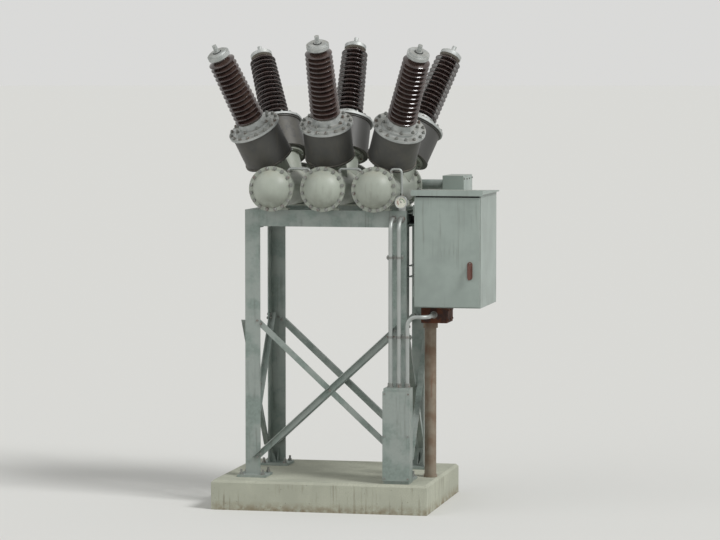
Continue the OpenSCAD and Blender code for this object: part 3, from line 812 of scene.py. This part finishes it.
class BREAKER_OT_tank_bolts(bpy.types.Operator):
    """Bolt the front covers and the crank housings to the tanks' end flanges."""

    bl_idname = "breaker.tank_bolts"
    bl_label = "Tank flange bolts"

    def execute(self, context):
        sizes = context.scene.breaker_sizes
        past_flange = Matrix.Translation((0, 0, FLANGE_T))
        sets = []
        for pattern, way in ((fastener, 1), (nut, -1)):
            hubs = [tank_joint(pole, end, way) @ past_flange for pole, end in POLE_ENDS]
            places = round_seats(hubs, FLANGE_BOLTS_R, sizes.flange_bolts)
            sets.append((pattern(sizes.flange_bolt), places))
        keep_fasteners("tank_flange_bolts", "tank_paint", *sets)
        return {"FINISHED"}


class BREAKER_OT_flange_joints(bpy.types.Operator):
    """Show the seal between each pair of flanges, and weld the flanges and the necks to the tanks."""

    bl_idname = "breaker.flange_joints"
    bl_label = "Flange joints and welds"

    def execute(self, context):
        inner, outer, half = FLANGE_R - 0.004, FLANGE_R + 0.0008, 0.0015
        seal = [(inner, -half), (outer, -half), (outer, half), (inner, half)]
        joints = [tank_joint(pole, end, -1) for pole, end in POLE_ENDS]
        keep_rings("flange_seals", "tank_paint", (seal, joints), material="rubber")
        root, throat, neck_bead_r = TANK_R - 0.001, TANK_R + 0.007, 0.006
        bead = [(root, 0.0), (throat, 0.0), (throat - 0.002, 0.004), (root, 0.007)]
        past_flange = Matrix.Translation((0, 0, FLANGE_T))
        beads = bmesh.new()
        for joint, (pole, end) in zip(joints, POLE_ENDS):
            turned_ring(beads, bead, joint @ past_flange)
            weld(beads, neck_foot(pole, end), neck_bead_r, closed=True)
        keep_piece(beads, "flange_welds", "tank_paint")
        return {"FINISHED"}


def neck_foot(pole, end):
    """Points round the line where a bushing's neck meets its tank."""
    place = bushing_place(pole, end, 0)
    along = place.to_3x3() @ UP
    count = 48
    points = []
    for i in range(count):
        turn = math.tau * i / count
        start = place @ Vector((NECK_R * math.cos(turn), NECK_R * math.sin(turn), 0))
        off_x, off_z = start.x - pole * POLE_PITCH, start.z - TANK_AXIS
        # The neck's line at this turn meets the tank a tank's radius from the tank's axis
        a = along.x ** 2 + along.z ** 2
        b = off_x * along.x + off_z * along.z
        c = off_x ** 2 + off_z ** 2 - TANK_R ** 2
        points.append(start + along * (math.sqrt(b * b - a * c) - b) / a)
    return points


class BREAKER_OT_bushing_bolts(bpy.types.Operator):
    """Bolt the drums, their top plates and the bushings' feet."""

    bl_idname = "breaker.bushing_bolts"
    bl_label = "Bushing bolts"

    def execute(self, context):
        sizes = context.scene.breaker_sizes
        collar_bolts = 12
        turned_over = Matrix.Rotation(math.pi, 4, "X")
        collars = [place @ turned_over for place in all_bushings(NECK_TOP - COLLAR_H)]
        plates = all_bushings(DRUM_TOP + PLATE_T)
        feet = all_bushings(DRUM_TOP + PLATE_T + BASE_FLANGE_H)
        keep_fasteners(
            "bushing_bolts", "cast_aluminium",
            (fastener(M12), round_seats(collars, COLLAR_BOLTS_R, collar_bolts)),
            (nut(M16), round_seats(plates, DRUM_BOLTS_R, sizes.drum_bolts)),
            (nut(M16), round_seats(feet, BASE_BOLTS_R, sizes.base_bolts)),
        )
        return {"FINISHED"}


class BREAKER_OT_cement(bpy.types.Operator):
    """Set both ends of each porcelain in a sloped ring of cement, and seal its terminal's hub."""

    bl_idname = "breaker.cement"
    bl_label = "Cement rings"

    def execute(self, context):
        height = context.scene.breaker_sizes.cement_h
        slope = [(0.078, 0.0), (0.104, 0.0), (0.103, 0.25), (0.092, 0.6), (0.084, 1.0), (0.078, 1.0)]
        sets = []
        for way, narrower, level in ((1, 0.0, PORCELAIN_LOW), (-1, 0.015, PORCELAIN_HIGH)):
            outline = [(radius - narrower, way * height * share) for radius, share in slope]
            sets.append((outline, all_bushings(level)))
        keep_rings("cement_rings", "brown_porcelain", *sets, material="cement")
        bore, rim = HUB_R - 0.001, HUB_R + 0.007
        lip = [(bore, 0.0), (rim, 0.0), (rim - 0.001, 0.003), (rim - 0.004, 0.005), (bore, 0.005)]
        hubs = all_bushings(PORCELAIN_HIGH + CAP_H)
        keep_rings("hub_seals", "cast_aluminium", (lip, hubs), material="rubber")
        return {"FINISHED"}


class BREAKER_OT_frame_bolts(bpy.types.Operator):
    """Anchor and weld the legs' feet, and bolt the top frame to the legs and the tanks' saddles to it."""

    bl_idname = "breaker.frame_bolts"
    bl_label = "Frame bolts"

    def execute(self, context):
        foot, cap = PLINTH_TOP + FOOT_T, RAIL_LOW - CAP_PLATE_T
        leg_welds(foot)
        reach, near, far = 0.095, 0.030, 0.100
        lines = (LEG_SIZE / 2 - reach, LEG_SIZE / 2 + reach)
        anchors = [seat(from_corner(*corner, x, y, foot), UP)
                   for corner in CORNERS for x, y in product(lines, lines)]
        caps = [seat(from_corner(*corner, x, y, cap), -UP)
                for corner in CORNERS for x, y in ((far, near), (near, far))]
        half_x, half_y = 0.055, 0.018
        rail_y, plate_z = FRAME_Y - RAIL_FLANGE / 2, FRAME_TOP + SADDLE_PLATE_T
        saddles = [seat((pole * POLE_PITCH + half_x * x, end * rail_y + half_y * y, plate_z), UP)
                   for pole, end in POLE_ENDS for x, y in CORNERS]
        keep_fasteners(
            "frame_bolts", "galvanized_steel",
            (nut(M20, thread=0.9), anchors),
            (fastener(M16), caps),
            (nut(M10), saddles),
        )
        return {"FINISHED"}


def leg_welds(foot):
    """Beads along both faces of each leg's angle, where it stands on its foot plate."""
    bead_r = 0.005
    bm = bmesh.new()
    for corner, inset in product(CORNERS, (0, LEG_T)):
        outline = ((LEG_SIZE, inset), (inset, inset), (inset, LEG_SIZE))
        weld(bm, [from_corner(*corner, x, y, foot) for x, y in outline], bead_r)
    keep_piece(bm, "leg_welds", "galvanized_steel")


def brace_seats(width):
    """Seats of the bolts through one face's two angles, at their ends and their crossing.

    The face lies on the plane y = 0. The last seat is that of the spacer between the angles.
    """
    reach = (width - LEG_SIZE) / 2
    rise = BRACE_HIGH - BRACE_LOW
    slope = math.atan2(rise, 2 * reach)
    length = math.hypot(rise, 2 * reach)
    # How far the bolts stand from the angle's edge, and from its ends
    line = BRACE_SIZE / 2 + 0.002
    outer, inner = 0.030, 0.068
    heads, nuts = [], []
    for side, face, back, drop in ((1, -BRACE_T, LEG_T, -1), (-1, 0.0, LEG_T + BRACE_T, 1)):
        along = Vector((side * math.cos(slope), 0, math.sin(slope)))
        across = Vector((math.sin(slope), 0, drop * math.cos(slope)))
        start = Vector((-side * reach, 0, BRACE_LOW)) + across * line
        for distance in (outer, inner, length - inner, length - outer):
            heads.append(seat(start + along * distance + REAR * face, FRONT))
            nuts.append(seat(start + along * distance + REAR * back, REAR))
    crossing = start + along * (length / 2 - line / math.tan(slope))
    heads.append(seat(crossing - REAR * BRACE_T, FRONT))
    nuts.append(seat(crossing + REAR * (LEG_T + BRACE_T), REAR))
    return heads, nuts, seat(crossing, REAR)


class BREAKER_OT_bracing_bolts(bpy.types.Operator):
    """Bolt the crossed angles through the legs' flanges, and to each other with a spacer between them."""

    bl_idname = "breaker.bracing_bolts"
    bl_label = "Bracing bolts"

    def execute(self, context):
        spacer_r = 0.012
        heads, nuts = [], []
        spacers = bmesh.new()
        for turn in (0, 90, 180, 270):
            half, depth = (FRAME_X, FRAME_Y) if turn % 180 == 0 else (FRAME_Y, FRAME_X)
            face = Matrix.Rotation(math.radians(turn), 4, "Z") @ Matrix.Translation((0, -depth, 0))
            face_heads, face_nuts, crossing = brace_seats(2 * half)
            heads.extend(face @ place for place in face_heads)
            nuts.extend(face @ place for place in face_nuts)
            disc(spacers, spacer_r, 0, LEG_T, sides=20, place=face @ crossing)
        keep_piece(spacers, "bracing_spacers", "galvanized_steel", "fastener")
        keep_fasteners("bracing_bolts", "galvanized_steel", (fastener(M12), heads), (nut(M12), nuts))
        return {"FINISHED"}


class BREAKER_OT_linkage(bpy.types.Operator):
    """Bolt the crank housings' lids and clamp the linkage tube to them."""

    bl_idname = "breaker.linkage"
    bl_label = "Linkage fittings"

    def execute(self, context):
        lid_bolts = 8
        lids = [seat((pole * POLE_PITCH + side * CRANK_HALF_W, LINKAGE_Y, TANK_AXIS), RIGHT * side)
                for pole, side in POLE_ENDS]
        bolts = round_seats(lids, LID_BOLTS_R, lid_bolts)
        keep_fasteners("linkage_bolts", "tank_paint", (fastener(M10), bolts))
        drive = seat((low_of("drive_housing").x, LINKAGE_Y, TANK_AXIS), -RIGHT)
        bore, outer = LINKAGE_R - 0.002, LINKAGE_R + 0.014
        outline = [
            (bore, 0.0), (outer, 0.0), (outer, 0.020), (outer - 0.003, 0.023),
            (LINKAGE_R + 0.004, 0.023), (LINKAGE_R + 0.002, 0.034), (bore, 0.034),
        ]
        # No tube leaves the first pole's outer side
        collars = [drive, *lids[1:]]
        keep_rings("linkage_collars", "galvanized_steel", (outline, collars), material="cast_aluminium")
        return {"FINISHED"}


class BREAKER_OT_drive_cover(bpy.types.Operator):
    """Close the drive housing's outer side with a screwed cover."""

    bl_idname = "breaker.drive_cover"
    bl_label = "Drive housing cover"

    def execute(self, context):
        low, high = low_of("drive_housing"), high_of("drive_housing")
        inset, thickness = 0.014, 0.004
        near, far = low.y + inset, high.y - inset
        outline = [Vector((0, y, z)) for y, z in (
            (near, low.z + inset),
            (low.y + DRIVE_FOOT_D - inset / 2, low.z + inset),
            (far, low.z + DRIVE_STEP_H + inset / 2),
            (far, high.z - inset),
            (near, high.z - inset),
        )]
        drive_cover(outline, high.x, thickness)
        screws = screws_round(outline, high.x + thickness)
        keep_fasteners("drive_cover_screws", "cabinet_paint", (fastener(M8), screws))
        return {"FINISHED"}


def drive_cover(outline, wall, thickness):
    """The cover's plate, sunk a little into the wall that it closes."""
    sunk, edge = 0.0005, 0.001
    bm = bmesh.new()
    verts = [bm.verts.new(point + RIGHT * (wall - sunk)) for point in outline]
    face = bmesh.ops.contextual_create(bm, geom=verts)["faces"][0]
    grown = bmesh.ops.extrude_face_region(bm, geom=[face])["geom"]
    outer = [g for g in grown if isinstance(g, bmesh.types.BMVert)]
    bmesh.ops.translate(bm, vec=(thickness + sunk, 0, 0), verts=outer)
    soften(bm, bm.verts[:], edge)
    keep_piece(bm, "drive_cover", "cabinet_paint")


def screws_round(outline, face):
    """Seats of the screws that stand in from a cover's edge, evenly spaced along each side."""
    spacing, edge_gap = 0.14, 0.018
    centre = sum(outline, Vector()) / len(outline)
    screws = []
    for here, there in zip(outline, outline[1:] + outline[:1]):
        steps = max(1, round((there - here).length / spacing))
        for step in range(steps):
            spot = here.lerp(there, step / steps)
            spot += (centre - spot).normalized() * edge_gap + RIGHT * face
            screws.append(seat(spot, RIGHT))
    return screws


class BREAKER_OT_gas_fittings(bpy.types.Operator):
    """Screw a union on each gas port and on the gauge."""

    bl_idname = "breaker.gas_fittings"
    bl_label = "Gas fittings"

    def execute(self, context):
        # The ports stand on the tanks' shoulders
        reach, rise, port_y = 0.78 * TANK_R, 0.84 * TANK_R, middle_of("gas_pipe").y
        # The first pole has a port on its inner side alone
        ports = [seat((pole * POLE_PITCH + side * reach, port_y, TANK_AXIS + rise), UP)
                 for pole, side in POLE_ENDS[1:]]
        gauge = seat((high_of("gas_pipe").x - PIPE_R, port_y, low_of("gas_pipe").z), UP)
        keep_fasteners(
            "gas_unions", "pipe_metal",
            (fastener(across=0.034, height=0.47, washer=0.18), ports),
            (fastener(across=0.028, height=0.64, washer=0.18), [gauge]),
        )
        return {"FINISHED"}


class BREAKER_OT_gauge(bpy.types.Operator):
    """Give the gas gauge its bezel, its dial and its needle."""

    bl_idname = "breaker.gauge"
    bl_label = "Gas gauge"

    def execute(self, context):
        radius = context.scene.breaker_sizes.dial_r
        low, high = low_of("density_gauge"), high_of("density_gauge")
        hub = seat(((low.x + high.x) / 2, low.y, high.z - GAUGE_R), FRONT)
        rim = [(radius, 0.0), (GAUGE_R, 0.0), (GAUGE_R, 0.003), (GAUGE_R - 0.003, 0.006), (radius, 0.004)]
        keep_rings("gauge_bezel", "gauge_metal", (rim, [hub]))
        card_low, card_top = 0.0002, 0.0012
        bm = bmesh.new()
        disc(bm, radius, card_low, card_top, sides=48, place=hub)
        keep_piece(bm, "gauge_dial", "gauge_metal", "card")
        bm = bmesh.new()
        scale_marks(bm, hub, radius, card_top)
        needle(bm, hub, radius, card_top)
        keep_piece(bm, "gauge_marks", "gauge_metal", "ink")
        for name, first, last in (("red", 60, 135), ("green", -100, 20)):
            gauge_band(hub, radius, name, first, last)
        return {"FINISHED"}


def scale_marks(bm, hub, radius, card_top):
    """The marks of the gauge's scale, with each fifth one longer."""
    count, sweep, half_w, ink_t = 21, 270, 0.0007, 0.0004
    long_from, short_from, end = 0.70 * radius, 0.78 * radius, 0.88 * radius
    for i in range(count):
        turn = Matrix.Rotation(math.radians(sweep * (i / (count - 1) - 0.5)), 4, "Z")
        low = (-half_w, long_from if i % 5 == 0 else short_from, card_top)
        block(bm, low, (half_w, end, card_top + ink_t), edge=0.0001, place=hub @ turn)


def needle(bm, hub, radius, card_top):
    """The gauge's needle and the boss that it turns on."""
    half_w, tail, tip, low, top = 0.0012, 0.008, 0.72 * radius, 0.0022, 0.0028
    boss_r, boss_top, reading = 0.004, 0.0032, 0.5
    place = hub @ Matrix.Rotation(reading, 4, "Z")
    block(bm, (-half_w, -tail, low), (half_w, tip, top), edge=0.0003, place=place)
    disc(bm, boss_r, card_top, boss_top, sides=20, place=hub)


def gauge_band(hub, radius, name, first, last):
    """A coloured band on the card between two angles, in degrees from its top."""
    reach, height, steps = 0.6 * radius, 0.0014, 12
    turns = [math.radians(first + (last - first) * i / steps) for i in range(steps + 1)]
    arc = [hub @ Vector((-reach * math.sin(a), reach * math.cos(a), height)) for a in turns]
    bm = bmesh.new()
    swept(bm, arc, FRONT, 4, flat_section(toward=0.0006, across=0.005))
    keep_piece(bm, f"gauge_{name}_band", "gauge_metal", name)


class BREAKER_OT_cabinet_door(bpy.types.Operator):
    """Seal the cabinet's opening, and screw on the hinges and the handle."""

    bl_idname = "breaker.cabinet_door"
    bl_label = "Cabinet door fittings"

    def execute(self, context):
        door_seal(context.scene.breaker_sizes.seal_w)
        handle_screws()
        hinge_screws()
        return {"FINISHED"}


def door_seal(width):
    """Four lengths of rubber round the cabinet's opening, set back a little from its edge."""
    setback, thickness, rounding = 0.004, 0.009, 0.003
    front = SHELL_FRONT - thickness
    left, right = SHELL_LEFT + RIM_W - width - setback, SHELL_HIGH.x - RIM_W + setback
    bottom, top = SHELL_LOW.z + RIM_W - width - setback, SHELL_HIGH.z - RIM_W + setback
    bm = bmesh.new()
    for x in (left, right):
        block(bm, (x, front, bottom), (x + width, SHELL_FRONT, top + width), rounding)
    for z in (bottom, top):
        block(bm, (left + width, front, z), (right, SHELL_FRONT, z + width), rounding)
    keep_piece(bm, "door_seal", "cabinet_paint", "rubber")


def handle_screws():
    """The screws near the handle's ends, and the nut on its spindle inside the door."""
    low, high = low_of("door_handle"), high_of("door_handle")
    x, end_gap = (low.x + high.x) / 2, 0.013
    screws = seats(FRONT, (x,), (DOOR_FACE - HANDLE_T,), (low.z + end_gap, high.z - end_gap))
    spindle = seat((x, DOOR_FACE + SHEET_T, low.z + SPINDLE_H), REAR)
    keep_fasteners(
        "handle_screws", "handle_paint",
        (fastener(across=0.009), screws),
        (fastener(M12, height=0.54), [spindle]),
        body="door",
    )


def hinge_screws():
    """The screws through the shell's hinge leaves."""
    near, far = 0.010, 0.030
    depths = (SHELL_FRONT + near, SHELL_FRONT + far)
    # The shell has a leaf at the lowest and the highest of each hinge's three knuckles
    levels = [z + KNUCKLE_H * knuckle for z in HINGE_HEIGHTS for knuckle in (0.5, 2.5)]
    screws = seats(-RIGHT, (HINGE_X,), depths, levels)
    keep_fasteners("hinge_screws", "cabinet_paint", (fastener(M6, height=0.30), screws))


class BREAKER_OT_cabinet_inside(bpy.types.Operator):
    """Stand the bare mounting panel on studs in the cabinet, and bolt the cabinet to its brackets."""

    bl_idname = "breaker.cabinet_inside"
    bl_label = "Cabinet inside"

    def execute(self, context):
        back = SHELL_HIGH.y - SHEET_T
        side_gap, end_gap, back_gap, lip, stud_gap = 0.045, 0.070, 0.040, 0.020, 0.030
        low = Vector((SHELL_LEFT + side_gap, back - back_gap, SHELL_LOW.z + end_gap))
        high = Vector((SHELL_HIGH.x - side_gap, low.y + lip, SHELL_HIGH.z - end_gap))
        stud_xs, stud_zs = (low.x + stud_gap, high.x - stud_gap), (low.z + stud_gap, high.z - stud_gap)
        mounting_panel(low, high, seats(REAR, stud_xs, (0,), stud_zs), back)
        rail_low, rail_high, bolt_gap = low_of("cabinet_bracket"), high_of("cabinet_bracket"), 0.060
        levels = (rail_low.z + BRACKET_H / 2, rail_high.z - BRACKET_H / 2)
        depths = (rail_low.y + bolt_gap, (rail_low.y + rail_high.y) / 2, SHELL_HIGH.y - bolt_gap)
        keep_fasteners(
            "cabinet_bolts", "cabinet_paint",
            (nut(M8), seats(FRONT, stud_xs, (low.y,), stud_zs)),
            (fastener(M12), seats(RIGHT, (SHELL_LEFT + SHEET_T,), depths, levels)),
            (nut(M12), seats(-RIGHT, (SHELL_LEFT - RAIL_T,), depths, levels)),
        )
        return {"FINISHED"}


def mounting_panel(low, high, studs, back):
    """A sheet with its edges folded back, on studs that reach the cabinet's back."""
    sheet_t, edge, stud_r = 0.0025, 0.0008, 0.006
    behind = low.y + sheet_t
    bm = bmesh.new()
    block(bm, low, (high.x, behind, high.z), edge)
    for x in (low.x, high.x - sheet_t):
        block(bm, (x, behind, low.z), (x + sheet_t, high.y, high.z), edge)
    for z in (low.z, high.z - sheet_t):
        block(bm, (low.x, behind, z), (high.x, high.y, z + sheet_t), edge)
    for stud in studs:
        disc(bm, stud_r, behind, back, sides=16, place=stud)
    keep_piece(bm, "mounting_panel", "cabinet_paint", "sheet")


class BREAKER_OT_conduit_fittings(bpy.types.Operator):
    """Lock each conduit at the boxes and the rail, strap it to its bars, and screw on its box's lid."""

    bl_idname = "breaker.conduit_fittings"
    bl_label = "Conduit fittings"

    def execute(self, context):
        low, high = low_of("conduit_box"), high_of("conduit_box")
        middle, axis_y = (low.x + high.x) / 2, low_of("conduits").y + CONDUIT_R
        tubes = (middle - CONDUIT_PITCH, middle, middle + CONDUIT_PITCH)
        conduit_locknuts(tubes, axis_y, high.z)
        screws = strap_conduits(tubes, axis_y)
        side_gap, end_gap = 0.016, 0.045
        levels = (low.z + end_gap, (low.z + high.z) / 2, high.z - end_gap)
        lid = seats(FRONT, (low.x + side_gap, high.x - side_gap), (low.y,), levels)
        keep_fasteners("conduit_screws", "conduit_metal", (fastener(M6), screws), (fastener(M8), lid))
        return {"FINISHED"}


def conduit_locknuts(tubes, axis_y, box_top):
    """A locknut and a sleeve wherever a conduit enters its box, the rail or the gland box."""
    hubs = seats(UP, tubes, (axis_y,), (box_top,))
    # The first two conduits end at the rail, and the third one at the gland box
    hubs += seats(FRONT, tubes[:2], (-FRAME_Y,), ((RAIL_LOW + FRAME_TOP) / 2,))
    inlet_x, inlet_y = high_of("conduits").x - CONDUIT_R, low_of("gland_box").y + GLAND_FLANGE
    hubs.append(seat((inlet_x, inlet_y, middle_of("gland_box").z), FRONT))
    bore, rim, bottom, top = CONDUIT_R - 0.001, 0.023, 0.0115, 0.036
    sleeve = [(bore, bottom), (rim, bottom), (rim, top - 0.002), (rim - 0.0015, top), (bore, top)]
    bm = bmesh.new()
    stamp(bm, fastener(across=0.048, height=0.19, washer=0.06), hubs)
    for hub in hubs:
        turned_ring(bm, sleeve, hub, steps=24)
    keep_piece(bm, "conduit_locknuts", "conduit_metal", "fastener")


def strap_conduits(tubes, axis_y):
    """Straps the conduits to their two bars, and returns the seats of the straps' screws."""
    lower, upper = low_of("conduit_clips").z + CLIP_H / 2, high_of("conduit_clips").z - CLIP_H / 2
    face, screw_x, thickness = axis_y + CONDUIT_R, 0.029, 0.0022
    bm, screws = bmesh.new(), []
    # The third conduit has turned aside below the upper bar
    for z, held in ((lower, tubes), (upper, tubes[:2])):
        for x in held:
            strap(bm, Vector((x, axis_y, z)), face, thickness)
            screws += seats(FRONT, (x - screw_x, x + screw_x), (face - thickness,), (z,))
    keep_piece(bm, "conduit_straps", "conduit_metal", "fastener")
    return screws


def strap(bm, centre, face, thickness):
    """A two-eared strap round the front of an upright conduit, with its ears on the bar's face."""
    bend_r, foot_x, ear, width = CONDUIT_R + 0.001, CONDUIT_R + 0.002, 0.018, 0.020
    turns = [math.radians(-90 + 15 * i) for i in range(13)]
    bend = [centre + Vector((math.sin(a), -math.cos(a), 0)) * bend_r for a in turns]
    feet = [Vector((centre.x + side * foot_x, face - thickness / 2, centre.z)) for side in ENDS]
    path = [feet[0] - RIGHT * ear, feet[0], *bend, feet[1], feet[1] + RIGHT * ear]
    swept(bm, path, UP, 4, flat_section(toward=width, across=thickness))


class BREAKER_OT_cable_entry(bpy.types.Operator):
    """Screw the gland box to the cabinet's floor and its cover to its side."""

    bl_idname = "breaker.cable_entry"
    bl_label = "Gland box screws"

    def execute(self, context):
        low, high = low_of("gland_box"), high_of("gland_box")
        middle, cover_y, flange_y = (low.y + high.y) / 2, 0.107, 0.120
        gap_below, gap_above = 0.027, 0.033
        cover = seats(
            RIGHT, (high.x - GLAND_FLANGE + GLAND_COVER_T,),
            (middle - cover_y, middle, middle + cover_y), (low.z + gap_below, high.z - gap_above),
        )
        flange = seats(
            -UP, (low.x + GLAND_FLANGE / 2, high.x - GLAND_FLANGE / 2),
            (middle - flange_y, middle, middle + flange_y), (high.z - GLAND_FLANGE_T,),
        )
        screws = (fastener(M8), cover + flange)
        keep_fasteners("gland_box_screws", "rusty_steel", screws, material="rusty_steel")
        return {"FINISHED"}


def away(azimuth, elevation):
    """The direction from the breaker to something at that azimuth and elevation in degrees."""
    turn, rise = math.radians(azimuth), math.radians(elevation)
    return Vector((math.sin(turn) * math.cos(rise), -math.cos(turn) * math.cos(rise), math.sin(rise)))


def place_object(name, data, location, direction):
    """Links a lamp or camera there, with its back towards that direction."""
    holder = bpy.data.objects.new(name, data)
    holder.location = location
    holder.rotation_euler = direction.to_track_quat("Z", "Y").to_euler()
    bpy.context.collection.objects.link(holder)
    return holder


def studio_paper(tree, place):
    """Uncoated paper: pale, matt and of one even tone, so that the breaker stands out from it."""
    return {"Base Color": shade("#dadad7"), "Roughness": 1.0, "Specular IOR Level": 0.0}


def studio_floor():
    """A disc of pale matt paper that runs out to the horizon."""
    bm = bmesh.new()
    bmesh.ops.create_circle(bm, cap_ends=True, segments=96, radius=900)
    mesh = bpy.data.meshes.new("studio_floor")
    bm.to_mesh(mesh)
    bm.free()
    mesh.materials.append(new_material("Matt studio paper", studio_paper))
    floor = bpy.data.objects.new("studio_floor", mesh)
    bpy.context.collection.objects.link(floor)


def studio_sky():
    """A sky that lights softly, and that the camera and reflections see as pale as the floor."""
    world = bpy.data.worlds.new("Soft studio")
    world.use_nodes = True
    tree = world.node_tree
    ray = add(tree, "LightPath").outputs
    seen = most(tree, ray["Is Camera Ray"], ray["Is Glossy Ray"], ray["Is Transmission Ray"])
    sky = tree.nodes["Background"]
    put(tree, sky.inputs["Color"], (1.0, 1.0, 0.985, 1.0))
    strength = add(tree, "MapRange", {"Value": seen, "To Min": 0.5, "To Max": 0.7}).outputs[0]
    put(tree, sky.inputs["Strength"], strength)
    bpy.context.scene.world = world


class BREAKER_OT_stage(bpy.types.Operator):
    """Set the pale floor, the soft studio light and the camera."""

    bl_idname = "breaker.stage"
    bl_label = "Stage"

    def execute(self, context):
        studio_floor()
        studio_sky()
        for name, azimuth, elevation, softness, strength in (
            ("Key", 66, 44, 18, 1.9),
            ("Fill", -50, 30, 60, 0.45),
        ):
            lamp = bpy.data.lights.new(name, "SUN")
            lamp.angle = math.radians(softness)
            lamp.energy = strength
            place_object(name, lamp, (0, 0, 0), away(azimuth, elevation))
        camera = bpy.data.cameras.new("Camera")
        camera.lens = 152
        camera.sensor_width = 36
        camera.clip_end = 2000
        # The photograph looks from about 26 m away, a little to the right of the front and from above
        distance, back = 26, away(azimuth=12, elevation=3.7)
        target = Vector((0.2, 0, 1.99))
        context.scene.camera = place_object("Camera", camera, target + back * distance, back)
        context.scene.view_settings.view_transform = "Standard"
        return {"FINISHED"}


class BREAKER_PT_panel(bpy.types.Panel):
    """Lists the breaker's operators and settings in the sidebar."""

    bl_idname = "BREAKER_PT_panel"
    bl_label = "Circuit breaker"
    bl_space_type = "VIEW_3D"
    bl_region_type = "UI"
    bl_category = "Breaker"

    def draw(self, context):
        for kind in OPERATORS:
            self.layout.operator(kind.bl_idname)
        for settings in (context.scene.breaker_sizes, context.scene.breaker_colours):
            for name in settings.__annotations__:
                self.layout.prop(settings, name)


OPERATORS = (
    BREAKER_OT_finishes,
    BREAKER_OT_tank_bolts,
    BREAKER_OT_flange_joints,
    BREAKER_OT_bushing_bolts,
    BREAKER_OT_cement,
    BREAKER_OT_frame_bolts,
    BREAKER_OT_bracing_bolts,
    BREAKER_OT_linkage,
    BREAKER_OT_drive_cover,
    BREAKER_OT_gas_fittings,
    BREAKER_OT_gauge,
    BREAKER_OT_cabinet_door,
    BREAKER_OT_cabinet_inside,
    BREAKER_OT_conduit_fittings,
    BREAKER_OT_cable_entry,
    BREAKER_OT_stage,
)
CLASSES = (BreakerColours, BreakerSizes, *OPERATORS, BREAKER_PT_panel)


def register():
    """Registers the classes and gives the scene their settings."""
    for kind in CLASSES:
        bpy.utils.register_class(kind)
    bpy.types.Scene.breaker_colours = PointerProperty(type=BreakerColours)
    bpy.types.Scene.breaker_sizes = PointerProperty(type=BreakerSizes)


def unregister():
    """Takes the settings and the classes away again."""
    del bpy.types.Scene.breaker_sizes
    del bpy.types.Scene.breaker_colours
    for kind in reversed(CLASSES):
        bpy.utils.unregister_class(kind)


def main():
    """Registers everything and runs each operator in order."""
    register()
    for kind in OPERATORS:
        group, name = kind.bl_idname.split(".")
        getattr(getattr(bpy.ops, group), name)()


if __name__ == "__main__":
    main()
